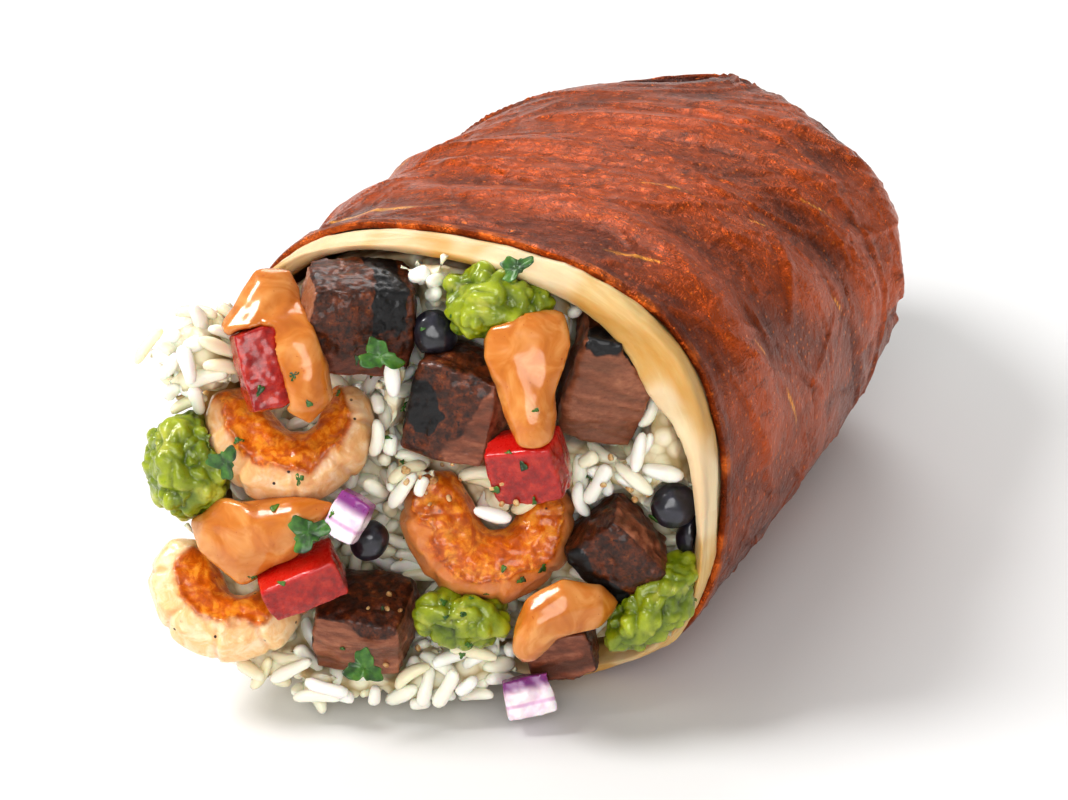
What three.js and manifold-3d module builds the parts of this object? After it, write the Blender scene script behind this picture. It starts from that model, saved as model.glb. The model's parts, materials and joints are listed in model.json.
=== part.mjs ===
// Burrito lying on its side: a tortilla roll in a crimped foil wrap, filling showing at the open end.
// The roll runs along +Y, the open end faces -Y and +Z is up. All sizes are in millimetres.
import * as THREE from 'three';
import { mergeVertices } from 'three/addons/utils/BufferGeometryUtils.js';
import Module from 'manifold-3d';

const wasm = await Module();
wasm.setup();

// Wrap
const mouthHalfWidth = 45;
const mouthHalfHeight = 41.6;
const foilLength = 147;
const foilThickness = 1.2;
const shoulder = 0.725;
const sag = 0.8;
const squareness = 2.6;
const creaseHeight = 1.5;
const pleatDepth = 3.2;

// Tortilla
const gap = 0.45;
const lipThickness = 3.2;
const lipExtra = 5.2;
const deepThickness = 3.2;
// Reach of the lip beyond the foil edge at angles from the right side, degrees and mm
const lipSteps = [[0, 4.2], [45, 3.2], [90, 3.4], [120, 4.6], [150, 9.5], [185, 25], [215, 22], [245, 15],
  [275, 8], [300, 4], [360.1, 4.2]];

// The open end is cut by a slanting plane, and the filling is placed on that plane
const facePoint = new THREE.Vector3(0, -17, 41);
const faceSlopeX = 0.28;
const faceSlopeZ = 0.15;

// Points nearer together than this are one point, and triangles thinner than this are split another way
const nearest = 0.09;
const thinnest = 0.02;

// Rice
const grainLength = 7.2;
const grainWidth = 2.5;

const foilStations = [0, 4, 13, 22, 32, 42, 53, 64, 75, 86, 97, 107, 116, 125, 133, 139.5, 144.6];
const deepStations = [0, 25, 55, 87, 110, 124, 137, 142];
const wallStations = [3, 25, 55, 87, 110, 124, 130];
const fine = 36;
const coarse = 18;

function randomFrom(seed) {
  let state = seed >>> 0;
  return () => {
    state = (state + 0x6d2b79f5) >>> 0;
    let t = state;
    t = Math.imul(t ^ (t >>> 15), t | 1);
    t ^= t + Math.imul(t ^ (t >>> 7), t | 61);
    return ((t ^ (t >>> 14)) >>> 0) / 4294967296;
  };
}

function smooth(from, to, value) {
  const t = Math.min(Math.max((value - from) / (to - from), 0), 1);
  return t * t * (3 - 2 * t);
}

// Soft lumps between 0 and 1, about `size` mm apart
function lumps(point, size, seed) {
  const k = (2 * Math.PI) / size;
  const a = Math.sin(point.x * k * 0.9 + seed * 1.7 + Math.sin(point.y * k * 0.6 + seed));
  const b = Math.sin(point.y * k * 1.1 + seed * 2.3 + Math.sin(point.z * k * 0.7 + seed * 0.5));
  const c = Math.sin(point.z * k * 0.8 + seed * 0.9 + Math.sin(point.x * k * 0.8 + seed * 1.3));
  return 0.5 + (a + b + c) / 6;
}

// Signed power, for rounded-square sections
function bent(value, power) {
  return Math.sign(value) * Math.pow(Math.abs(value), power);
}

// Section of the roll at a distance y behind the foil edge
function section(y) {
  const along = Math.min(Math.max(y / foilLength, 0), 1);
  const past = Math.max(0, (along - shoulder) / (1 - shoulder));
  const cap = Math.pow(Math.max(0, 1 - Math.pow(past, 1.5)), 1 / 1.5);
  const halfHeight = mouthHalfHeight * (1 - 0.375 * along + 0.124 * along * along);
  return {
    width: mouthHalfWidth * (1 + 0.338 * along - 0.311 * along * along) * cap,
    height: halfHeight * cap,
    centre: halfHeight * (1 + 0.83 * (1 - cap)) - sag,
    lean: Math.max(0, 1 - along / 0.45),
  };
}

// Point on the outside of the roll; angle 0 is the right side, a quarter turn is the top
function rollPoint(angle, y) {
  const { width, height, centre, lean } = section(y);
  const x = width * bent(Math.cos(angle), 2 / squareness);
  const z = height * bent(Math.sin(angle), 2 / squareness);
  const lift = y < 0 ? 3.6 * smooth(0, 24, -y) * smooth(-0.2, -0.95, Math.sin(angle)) : 0;
  return new THREE.Vector3(x, y - lean * (0.061 * x + 0.048 * z), Math.max(z + centre, lift));
}

function rollNormal(angle, y) {
  const at = Math.min(y, foilLength - 1.5);
  const turn = rollPoint(angle + 0.03, at).sub(rollPoint(angle - 0.03, at));
  const travel = rollPoint(angle, at + 0.6).sub(rollPoint(angle, at - 0.6));
  return travel.cross(turn).normalize();
}

// Point `depth` mm under the outside of the roll, never nearer the floor than that
function underPoint(angle, y, depth) {
  const point = rollPoint(angle, y).addScaledVector(rollNormal(angle, y), -depth);
  point.z = Math.max(point.z, depth);
  return point;
}

// Raised creases that run slantwise over the foil
function crease(angle, y) {
  let height = 0;
  const lines = [
    [20, 0.30, 0.9, 5.5, 1.0], [44, -0.22, 1.5, 6.5, 0.9], [63, 0.35, 2.1, 6.0, 1.0],
    [88, -0.30, 1.2, 7.0, 0.8], [104, 0.25, 0.4, 6.0, 0.9], [34, 0.45, 2.6, 5.0, 0.6],
    [76, 0.10, 0.2, 6.0, 0.7],
  ];
  for (const [start, slope, centre, width, size] of lines) {
    const away = y - start - slope * 60 * (angle - centre) / Math.PI - 3 * Math.sin(angle * 5 + start);
    const reach = Math.exp(-Math.pow((angle - centre) / 1.1, 2));
    height += size * reach * Math.exp(-Math.pow(away / width, 2));
  }
  const under = smooth(-0.35, 0.1, Math.sin(angle));
  const folds = Math.pow(Math.abs(Math.sin(angle * 4.5 + y * 0.05)), 3) * 0.35;
  return creaseHeight * Math.min(1.2, height + folds) * under * smooth(0, 12, y);
}

// Foil tucked in at the closed end: folds that run to its tip
function pleat(angle, y) {
  const wave = 0.5 - 0.5 * Math.cos(angle * 9 + 1.4 * Math.sin(angle * 2));
  const reach = smooth(foilLength * 0.8, foilLength * 0.95, y) * smooth(foilLength, foilLength * 0.975, y);
  return -pleatDepth * wave * wave * reach;
}

function ring(count, pointAt) {
  return Array.from({ length: count }, (_, k) => pointAt((2 * Math.PI * k) / count));
}

// Closed skin over rows of points; a row of one point is a tip, and one row may have twice the next's points
function closedSkin(rows) {
  const points = rows.flat();
  const faces = [];
  let start = 0;
  for (let r = 0; r + 1 < rows.length; r++) {
    const n = rows[r].length;
    const m = rows[r + 1].length;
    const a = (k) => start + (k % n);
    const b = (k) => start + n + (k % m);
    for (let k = 0; k < Math.min(n === 1 ? m : n, m === 1 ? n : m); k++) {
      if (n === 1) {
        faces.push(a(0), b(k + 1), b(k));
      } else if (m === 1) {
        faces.push(a(k), a(k + 1), b(0));
      } else if (n === m) {
        faces.push(a(k), a(k + 1), b(k), a(k + 1), b(k + 1), b(k));
      } else if (n > m) {
        faces.push(a(2 * k), a(2 * k + 1), b(k));
        faces.push(a(2 * k + 1), b(k + 1), b(k));
        faces.push(a(2 * k + 1), a(2 * k + 2), b(k + 1));
      } else {
        faces.push(a(k), b(2 * k + 1), b(2 * k));
        faces.push(a(k), a(k + 1), b(2 * k + 1));
        faces.push(a(k + 1), b(2 * k + 2), b(2 * k + 1));
      }
    }
    start += n;
  }
  const volume = faces.reduce((sum, _, k) => {
    if (k % 3) {
      return sum;
    }
    const p = points[faces[k]];
    return sum + p.dot(points[faces[k + 1]].clone().cross(points[faces[k + 2]]));
  }, 0);
  if (volume < 0) {
    faces.reverse();
  }
  const geometry = new THREE.BufferGeometry().setFromPoints(points);
  geometry.setIndex(faces);
  return geometry;
}

function solidOf(geometry) {
  const bare = geometry.clone();
  bare.deleteAttribute('normal');
  bare.deleteAttribute('uv');
  const whole = mergeVertices(bare, 1e-5);
  return new wasm.Manifold(new wasm.Mesh({
    numProp: 3,
    vertProperties: new Float32Array(whole.attributes.position.array),
    triVerts: new Uint32Array(whole.index.array),
  }));
}

// The points of a skin, and its triangles as threes of their numbers
function cornersOf(geometry) {
  const { position } = geometry.attributes;
  const places = Array.from({ length: position.count }, (_, k) => {
    return new THREE.Vector3().fromBufferAttribute(position, k);
  });
  const faces = [];
  for (let k = 0; k < geometry.index.count; k += 3) {
    faces.push([0, 1, 2].map((c) => geometry.index.getX(k + c)));
  }
  return { places, faces };
}

// Joins points that a cut left nearer together than `limit`, wherever the skin stays closed
function joinNearPoints(geometry, limit) {
  const { places, faces: whole } = cornersOf(geometry);
  let faces = whole;
  for (let found = true; found;) {
    found = false;
    const near = places.map(() => new Set());
    for (const [a, b, c] of faces) {
      near[a].add(b).add(c);
      near[b].add(a).add(c);
      near[c].add(a).add(b);
    }
    const busy = new Set();
    const goesTo = new Map();
    for (const face of faces) {
      for (let c = 0; c < 3; c++) {
        const a = face[c];
        const b = face[(c + 1) % 3];
        const around = [a, b, ...near[a], ...near[b]];
        if (places[a].distanceTo(places[b]) < limit && !around.some((k) => busy.has(k))
          && [...near[a]].filter((k) => near[b].has(k)).length === 2) {
          goesTo.set(b, a);
          around.forEach((k) => busy.add(k));
          found = true;
        }
      }
    }
    faces = faces.map((face) => face.map((k) => goesTo.get(k) ?? k));
    faces = faces.filter(([a, b, c]) => a !== b && b !== c && c !== a);
  }
  geometry.setIndex(faces.flat());
}

// Turns the long edge of each thin triangle the other way, where that makes both of its triangles wider
function turnThinEdges(geometry, limit) {
  const { places, faces } = cornersOf(geometry);
  const apart = (a, b) => places[a].distanceTo(places[b]);
  const spread = ([a, b, c]) => {
    const across = places[b].clone().sub(places[a]).cross(places[c].clone().sub(places[a]));
    const longest = Math.max(apart(a, b), apart(b, c), apart(c, a));
    return { height: across.length() / longest, normal: across.normalize() };
  };
  const owner = new Map();
  faces.forEach(([a, b, c], f) => [[a, b], [b, c], [c, a]].forEach(([p, q]) => owner.set(`${p} ${q}`, f)));
  const changed = new Set();
  faces.forEach((face, f) => {
    if (changed.has(f) || spread(face).height > limit) {
      return;
    }
    const sides = [0, 1, 2].map((c) => [face[c], face[(c + 1) % 3], face[(c + 2) % 3]]);
    const [a, b, tip] = sides.sort((s, t) => apart(t[0], t[1]) - apart(s[0], s[1]))[0];
    const g = owner.get(`${b} ${a}`);
    const far = faces[g].find((k) => k !== a && k !== b);
    const one = [tip, a, far];
    const two = [tip, far, b];
    const before = spread(faces[g]);
    if (changed.has(g) || owner.has(`${tip} ${far}`) || owner.has(`${far} ${tip}`)
      || Math.min(spread(one).height, spread(two).height) < limit
      || Math.min(spread(one).normal.dot(before.normal), spread(two).normal.dot(before.normal)) < 0.9) {
      return;
    }
    faces[f] = one;
    faces[g] = two;
    changed.add(f).add(g);
  });
  geometry.setIndex(faces.flat());
}

function geometryOf(solid) {
  const mesh = solid.getMesh();
  const geometry = new THREE.BufferGeometry();
  const places = new Float32Array((mesh.vertProperties.length / mesh.numProp) * 3);
  for (let k = 0; k < places.length / 3; k++) {
    for (let c = 0; c < 3; c++) {
      places[3 * k + c] = mesh.vertProperties[k * mesh.numProp + c];
    }
  }
  geometry.setAttribute('position', new THREE.BufferAttribute(places, 3));
  geometry.setIndex(Array.from(mesh.triVerts));
  geometry.computeVertexNormals();
  return geometry;
}

// The same solid with its skin moved outward by `distance`
function swollen(solid, distance) {
  const geometry = geometryOf(solid);
  const { position, normal } = geometry.attributes;
  for (let k = 0; k < position.count; k++) {
    position.setXYZ(
      k,
      position.getX(k) + normal.getX(k) * distance,
      position.getY(k) + normal.getY(k) * distance,
      position.getZ(k) + normal.getZ(k) * distance,
    );
  }
  return solidOf(geometry);
}

function largest(solid) {
  return solid.decompose().sort((a, b) => b.volume() - a.volume())[0];
}

// Frame on the slanting face: across to the right, up the face, and out of it
const faceOut = new THREE.Vector3(faceSlopeX, -1, faceSlopeZ).normalize();
const faceAcross = new THREE.Vector3(1, faceSlopeX, 0).normalize();
const faceUp = faceOut.clone().cross(faceAcross);
const faceFrame = new THREE.Matrix4().makeBasis(faceAcross, faceUp, faceOut).setPosition(facePoint);

function onFace(across, up, out) {
  return new THREE.Vector3(across, up, out).applyMatrix4(faceFrame);
}

// Turns and moves a piece onto the face; angles in degrees about across, up and out
function place(geometry, [across, up, out], [tip = 0, swing = 0, spin = 0] = []) {
  const rad = THREE.MathUtils.degToRad;
  const turns = new THREE.Euler(rad(tip), rad(swing), rad(spin), 'ZYX');
  const turned = new THREE.Matrix4().makeRotationFromEuler(turns);
  geometry.applyMatrix4(turned.setPosition(across, up, out));
  return geometry.applyMatrix4(faceFrame);
}

// Moves every point of a piece as the rule says
function shaped(geometry, rule) {
  const { position } = geometry.attributes;
  const point = new THREE.Vector3();
  for (let k = 0; k < position.count; k++) {
    point.fromBufferAttribute(position, k);
    rule(point);
    position.setXYZ(k, point.x, point.y, point.z);
  }
  return geometry;
}

// Diced piece with rounded, uneven edges, inside the box of its size
function dice(size, parts, rounding, roughness, seed) {
  const box = mergeVertices(new THREE.BoxGeometry(2, 2, 2, ...parts), 1e-5);
  return shaped(box, (p) => {
    const n = rounding;
    const scale = Math.pow(Math.abs(p.x) ** n + Math.abs(p.y) ** n + Math.abs(p.z) ** n, -1 / n);
    const dent = 1 - roughness * lumps(p, 1.3, seed);
    p.multiplyScalar(scale * dent);
    p.set((p.x * size[0]) / 2, (p.y * size[1]) / 2, (p.z * size[2]) / 2);
  });
}

// Lumpy rounded piece inside the ellipsoid of its size
function blob(size, detail, roughness, lumpSize, seed) {
  return shaped(mergeVertices(new THREE.IcosahedronGeometry(1, detail), 1e-4), (p) => {
    const dent = 1 - roughness * lumps(p, lumpSize, seed);
    p.multiplyScalar(dent);
    p.set((p.x * size[0]) / 2, (p.y * size[1]) / 2, (p.z * size[2]) / 2);
  });
}

// Curled shrimp: a tapering body swept round a loop that is open at the top
function curl(radius, body, from, to) {
  const steps = 16;
  const rows = [];
  const rad = THREE.MathUtils.degToRad;
  for (let k = 0; k <= steps; k++) {
    const t = k / steps;
    const angle = rad(from + (to - from) * t);
    const end = Math.pow(Math.max(0, 1 - Math.pow(Math.abs(2 * t - 1), 5)), 0.5);
    const taper = 1 - 0.42 * t;
    const bands = 1 - 0.09 * Math.abs(Math.sin(t * Math.PI * 6));
    const across = body * taper * end * bands;
    const outward = new THREE.Vector3(Math.cos(angle), Math.sin(angle), 0);
    const centre = outward.clone().multiplyScalar(radius - 0.25 * body * t);
    centre.z = -2.5 * t;
    if (k === 0 || k === steps) {
      rows.push([centre]);
      continue;
    }
    rows.push(ring(8, (turn) => centre.clone()
      .addScaledVector(outward, across * Math.cos(turn))
      .add(new THREE.Vector3(0, 0, across * 0.92 * bent(Math.sin(turn), 0.85)))));
  }
  return closedSkin(rows);
}

// Leaf with toothed lobes and a wavy face, both sides split alike
function leaf(length, width, thickness, seed) {
  const teeth = 10;
  const random = randomFrom(seed);
  const edge = ring(teeth, (turn) => {
    const tooth = Math.round(turn * 2.2) % 2 ? 0.1 : 0;
    const lobe = 0.72 + 0.28 * Math.cos(turn * 3) + (random() - 0.5) * 0.12 + tooth;
    const x = 0.5 * length * lobe * Math.cos(turn);
    const y = 0.5 * width * lobe * Math.sin(turn);
    return new THREE.Vector3(x, y, 0.6 * Math.sin(x * 0.9 + seed) + 0.4 * Math.cos(y * 1.1));
  });
  const middle = new THREE.Vector3(0, 0, 0.7);
  const under = new THREE.Vector3(0, 0, thickness);
  const low = edge.map((p) => p.clone().sub(under));
  return closedSkin([[middle], edge, low, [middle.clone().sub(under)]]);
}

// Poured sauce: a flat strand along rows of across, up, out, half width and half thickness
function pour(rows, around, seed) {
  const places = rows.map(([across, up, out]) => new THREE.Vector3(across, up, out));
  const skin = rows.map(([, , , half, thick], k) => {
    if (k === 0 || k === rows.length - 1) {
      return [places[k]];
    }
    const along = places[k + 1].clone().sub(places[k - 1]).setZ(0).normalize();
    const side = new THREE.Vector3(along.y, -along.x, 0);
    return ring(around, (turn) => places[k].clone()
      .addScaledVector(side, half * Math.cos(turn) * (1 + 0.12 * Math.sin(3 * turn + k * 1.7 + seed)))
      .add(new THREE.Vector3(0, 0, thick * Math.sin(turn))));
  });
  return closedSkin(skin).applyMatrix4(faceFrame);
}

const solids = {};
const pockets = [];

// Adds a solid, cut clear of those already there, and keeps its pocket for the rice
function add(name, geometry, pocket) {
  let solid = solidOf(geometry);
  for (const { wide } of Object.values(solids)) {
    if (wide && !solid.intersect(wide).isEmpty()) {
      solid = largest(solid.subtract(wide));
    }
  }
  solids[name] = { solid, wide: swollen(solid, 0.4) };
  pockets.push(pocket ? solidOf(pocket) : solids[name].wide);
}

function addSauce(name, rows, seed) {
  const wider = (half) => half * 1.25 + 0.7;
  const room = rows.map(([across, up, out, ...halves]) => [across, up, out, ...halves.map(wider)]);
  add(name, pour(rows, 9, seed), pour(room, 6, seed));
}

function addBlob(name, size, detail, roughness, at, turns, seed) {
  const room = size.map((side) => side * 1.16 + 0.8);
  const piece = blob(size, detail, roughness, 1.0, seed);
  add(name, place(piece, at, turns), place(blob(room, 1, 0, 1, 0), at, turns));
}

function addSteak(name, size, at, turns, seed) {
  const box = new THREE.BoxGeometry(size[0] + 0.9, size[1] + 0.9, size[2] + 0.9);
  add(name, place(dice(size, [3, 3, 3], 7, 0.07, seed), at, turns), place(box, at, turns));
}

function addShrimp(name, radius, body, from, to, at, turns) {
  add(name, place(curl(radius, body, from, to), at, turns));
}

// Foil: creased outside, plainer inside
const foilOutside = foilStations.map((y) => ring(fine, (angle) => {
  const relief = crease(angle, y) + pleat(angle, y);
  const point = rollPoint(angle, y).addScaledVector(rollNormal(angle, y), relief);
  point.z = Math.max(point.z, 0);
  return point;
})).reverse();
const foilInside = deepStations.map((y) => {
  const depth = foilThickness + 3.4 * smooth(foilLength * 0.76, foilLength * 0.93, y);
  return ring(coarse, (angle) => underPoint(angle, y, depth));
});
const foil = closedSkin([
  [rollPoint(0, foilLength)],
  ...foilOutside,
  ...foilInside,
  [rollPoint(0, foilLength).add(new THREE.Vector3(0, -5.4, 0))],
]);

// Tortilla: a deep cup, its rolled lip on the slanting face and thickest at the upper right
function lipDepth(angle) {
  const away = Math.atan2(Math.sin(angle - 0.56), Math.cos(angle - 0.56));
  return lipThickness + lipExtra * Math.exp(-Math.pow(away / (away < 0 ? 0.36 : 0.8), 2));
}

// How far the lip stands out of the foil: little at the right and the top, most at the lower left
function lipReach(angle) {
  const turns = ((((angle * 180) / Math.PI) % 360) + 360) % 360;
  const next = lipSteps.findIndex(([degrees]) => degrees > turns);
  const [fromDegrees, fromReach] = lipSteps[next - 1];
  const [toDegrees, toReach] = lipSteps[next];
  return THREE.MathUtils.lerp(fromReach, toReach, smooth(fromDegrees, toDegrees, turns));
}

function lipPoint(angle, depth, forward, share = 1) {
  return underPoint(angle, -lipReach(angle) * share - forward, depth);
}

const tortillaOutside = deepStations.map((y) => {
  const depth = foilThickness + gap + 3.4 * smooth(foilLength * 0.76, foilLength * 0.93, y);
  return ring(coarse, (angle) => underPoint(angle, y, depth));
}).reverse();
const wallDepth = (angle, y) => {
  const deep = deepThickness + 3.4 * smooth(foilLength * 0.76, foilLength * 0.93, y);
  return foilThickness + gap + THREE.MathUtils.lerp(lipDepth(angle) - 1.2, deep, smooth(-4, 40, y));
};
const foldAt = (angle) => 1.2 + 0.4 * Math.sin(angle * 7 + 1);
const foldOut = (angle) => 0.6 + 0.6 * Math.sin(angle * 3);
const tortilla = closedSkin([
  [rollPoint(0, foilLength).add(new THREE.Vector3(0, -6.3, 0))],
  ...tortillaOutside,
  ring(fine, (angle) => lipPoint(angle, 0.9, 0, 0.3)),
  ring(fine, (angle) => lipPoint(angle, 0.4 + 0.5 * Math.sin(angle * 5) ** 2, 0, 0.75)),
  ring(fine, (angle) => lipPoint(angle, foldAt(angle), foldOut(angle))),
  ring(fine, (angle) => lipPoint(angle, lipDepth(angle) * 0.5, 1.6 + 0.6 * Math.sin(angle * 4 + 2))),
  ring(fine, (angle) => lipPoint(angle, lipDepth(angle) - 0.6, 0.8 + 0.4 * Math.sin(angle * 5))),
  ring(coarse, (angle) => lipPoint(angle, lipDepth(angle) + 0.4, -1.6, 0.8)),
  ...wallStations.map((y) => ring(coarse, (angle) => underPoint(angle, y, wallDepth(angle, y)))),
  [rollPoint(0, foilLength).add(new THREE.Vector3(0, -14, 0))],
]);
solids.foil_wrap = { solid: solidOf(foil) };
solids.tortilla = { solid: solidOf(tortilla) };
solids.tortilla.wide = swollen(solids.tortilla.solid, 0.5);

// Filling pieces: size across, up and out, place on the face, turns
add('cilantro_1', place(leaf(7.5, 6.5, 0.6, 3), [-20.7, -3.5, 11.2], [-15, 10, 20]));
add('cilantro_2', place(leaf(7.2, 6.2, 0.6, 8), [-11.9, -28.1, 9.4], [-20, 5, -30]));
add('cilantro_3', place(leaf(6.8, 5.6, 0.6, 5), [-34.6, 7.6, 9.4], [-10, -15, 60]));
add('cilantro_4', place(leaf(8.2, 5.4, 0.6, 12), [-9.4, 25.4, 5.2], [-20, 10, -20]));
add('cilantro_5', place(leaf(6.4, 4.4, 0.6, 17), [12.4, 40.6, 3.4], [-40, 0, 30]));

addSteak('steak_1', [19, 17.4, 16], [-14.4, 29.2, -4.6], [8, 16, -4], 1.3);
addSteak('steak_2', [16.6, 18.6, 15], [3.3, 15.3, -2], [4, -12, -12], 4.1);
addSteak('steak_3', [14.6, 22, 15], [27.2, 20, -5.4], [10, 8, -14], 7.7);
addSteak('steak_4', [12.8, 15.4, 14], [29.7, -9.4, -2.4], [6, -8, 42], 9.2);
addSteak('steak_5', [17, 13.6, 15], [-12.7, -24.2, -1], [22, -6, -4], 12.6);
addSteak('steak_6', [12.6, 9.6, 12], [20.2, -28.6, -5.4], [10, 0, 16], 15.8);

addShrimp('shrimp_1', 9.9, 7.8, -208, 44, [-24.4, 12.4, -1.4], [-30, -4, 3]);
addShrimp('shrimp_2', 9.9, 7.9, -220, 58, [9.2, -3.9, -1.6], [-20, 2, -4]);
addShrimp('shrimp_3', 9.6, 7.6, -212, 30, [-34.2, -16.8, 0], [-34, -6, -6]);

add('tomato_1', place(dice([8.2, 14.5, 8], [3, 3, 2], 9, 0.06, 2.2), [-28.6, 22.6, 5.4], [-14, 20, 12]));
add('tomato_2', place(dice([12.8, 11, 9], [3, 3, 2], 9, 0.06, 5.2), [15.2, 8, 6.4], [10, -12, 12]));
add('tomato_3', place(dice([14.8, 8, 9], [3, 3, 2], 9, 0.06, 8.2), [-22.2, -13.6, 7.4], [14, 8, 24]));
add('onion_1', place(dice([6.8, 8.6, 4.6], [2, 2, 1], 8, 0.05, 3.1), [-14.3, -1.4, 8.6], [-10, -14, -26]));
add('onion_2', place(dice([9.4, 7.6, 5.2], [2, 2, 1], 8, 0.05, 6.6), [15.2, -35.4, 1.8], [-16, 10, 12]));

add('bean_1', place(blob([7.4, 8.6, 6], 1, 0.05, 2.2, 1), [-1.1, 27.2, -1.6], [0, 20, 20]));
add('bean_2', place(blob([8.2, 7.8, 6], 1, 0.05, 2.2, 2), [38.8, -1.1, -1.2], [0, 20, 24]));
add('bean_3', place(blob([4, 7, 5], 1, 0.05, 2.2, 3), [41.4, -7, -3.6], [0, 20, -10]));
add('bean_4', place(blob([6.2, 7.4, 6], 1, 0.05, 2.2, 4), [-11.7, -8, 2.4], [0, 0, -30]));

addBlob('guacamole_1', [20, 14.5, 12], 2, 0.28, [9.2, 33, -0.6], [-20, 0, -8], 3.7);
addBlob('guacamole_2', [17, 21, 15], 2, 0.24, [-42.2, 3.6, 1], [-6, -24, 6], 6.1);
addBlob('guacamole_3', [18.5, 12, 12], 2, 0.28, [4.4, -20.4, 3.6], [10, 6, -6], 9.4);
addBlob('guacamole_4', [23, 12, 12], 2, 0.24, [36, -17.8, 1], [0, 14, 46], 12.9);

addSauce('sauce_1', [
  [-25, 37.2, -3, 0, 0],
  [-26.6, 34.8, -1, 4.4, 3],
  [-29, 30.2, 2.8, 7.6, 3.8],
  [-24.8, 26, 4.8, 6.2, 3.8],
  [-22.1, 22, 6.4, 5, 3.8],
  [-21.1, 17.6, 7.4, 4, 3.4],
  [-20.4, 14, 7.6, 0, 0],
], 1);
addSauce('sauce_2', [
  [13, 34.6, 1, 0, 0],
  [13.4, 31.6, 2.6, 6.6, 3.4],
  [14, 27.4, 4.4, 7.4, 4],
  [15, 22.4, 6.4, 5, 3.8],
  [15.6, 17.4, 8.6, 4, 3.4],
  [16, 13.6, 9.8, 2.8, 2.8],
  [16.2, 11, 9.8, 0, 0],
], 2);
addSauce('sauce_3', [
  [-41.6, -4.4, 3, 0, 0],
  [-38.6, -5.6, 4.4, 5, 3.2],
  [-33, -7.6, 6.2, 7.6, 3.8],
  [-27.4, -5, 7.2, 5.8, 3.8],
  [-22, -2, 7.8, 3.6, 3.2],
  [-17, 0.4, 7.6, 0, 0],
], 3);
addSauce('sauce_4', [
  [30.6, -17.4, 3.2, 0, 0],
  [27, -16.8, 4.8, 3.6, 3],
  [22, -16.8, 6.6, 4.6, 3.4],
  [17.8, -18.8, 7.8, 4.2, 3.4],
  [15.8, -22.2, 8, 3.2, 3.2],
  [14.9, -25, 7.6, 2, 2.4],
  [14.6, -27, 7, 0, 0],
], 4);

// Rice: a core that fills the tortilla, mounds of it at the open end, and whole grains on the mounds
const coreRows = [[rollPoint(0, foilLength).add(new THREE.Vector3(0, -18, 0))]];
for (const y of [...wallStations].reverse()) {
  coreRows.push(ring(coarse, (angle) => underPoint(angle, y, wallDepth(angle, y) + 0.6)));
}
const coreMouth = ring(coarse, (angle) => lipPoint(angle, lipDepth(angle) + 0.9, -2.5));
const coreMiddle = onFace(0, 0, -4);
coreRows.push(coreMouth);
for (const share of [0.74, 0.4]) {
  coreRows.push(coreMouth.map((point) => point.clone().lerp(coreMiddle, 1 - share)));
}
coreRows.push([coreMiddle]);
let rice = solidOf(closedSkin(coreRows));

function mound(size) {
  return closedSkin([-0.5, -0.1, 0.34, 0.5].map((share, k) => {
    const radius = [0, 0.5, 0.34, 0][k];
    return ring(k % 3 ? 6 : 1, (turn) => {
      return new THREE.Vector3(size[0] * radius * Math.cos(turn), size[1] * radius * Math.sin(turn), size[2] * share);
    });
  }));
}

// Mounds: place on the face, size, number of grains
const mounds = [
  { at: [-12, -32.4, -7], size: [52, 13, 22], grains: 0 },
  { at: [-30, -20, -9], size: [26, 34, 18], grains: 0 },
  { at: [-1.6, 35.6, -5.4], size: [16, 8, 10], grains: 8 },
  { at: [16.6, 33.6, -6.4], size: [8, 7, 10], grains: 3 },
  { at: [-40, 21.6, -5], size: [14, 18, 16], grains: 10 },
  { at: [-6.2, 15.6, -4], size: [6, 16, 12], grains: 5 },
  { at: [-5.2, 1.6, -3], size: [8, 16, 11], grains: 6 },
  { at: [-40, -9.2, -3.6], size: [9, 10, 15], grains: 5 },
  { at: [-12.4, -14.8, -3], size: [12, 6, 11], grains: 5 },
  { at: [9.4, -0.4, -4], size: [8, 6, 11], grains: 3 },
  { at: [32, 8, -6.4], size: [14, 12, 12], grains: 11 },
  { at: [35.6, 0.4, -5.6], size: [11, 9, 12], grains: 5 },
  { at: [-28.6, -31, -3.4], size: [14, 9, 13], grains: 6 },
  { at: [-17, -33.8, -3], size: [18, 9, 13], grains: 9 },
  { at: [-4.4, -33, -3], size: [14, 10, 13], grains: 8 },
  { at: [6, -31.6, -4], size: [12, 11, 13], grains: 6 },
  { at: [37, -24.4, -6], size: [11, 6, 9], grains: 3 },
];
for (const { at, size } of mounds) {
  rice = rice.add(solidOf(place(mound(size), at)));
}
rice = rice.subtract(solids.tortilla.wide);
for (const pocket of pockets) {
  rice = rice.subtract(pocket);
}
const floorCut = solidOf(new THREE.BoxGeometry(300, 300, 10).translate(0, 0, -4.6));

// What the pieces leave of it: the filling, and a clump by itself on the left of the lip
const riceBodies = rice.subtract(floorCut).decompose().sort((a, b) => b.volume() - a.volume()).slice(0, 2);

// A grain: five-sided, widest in the middle, blunt at its ends
function grain(length, width) {
  const tips = [-0.5, 0.5].map((share) => [new THREE.Vector3(share * length, 0, 0)]);
  const belts = [-0.28, 0.28].map((share) => ring(5, (turn) => {
    return new THREE.Vector3(share * length, (width / 2) * Math.cos(turn), (width / 2) * Math.sin(turn));
  }));
  return closedSkin([tips[0], ...belts, tips[1]]);
}

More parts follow.
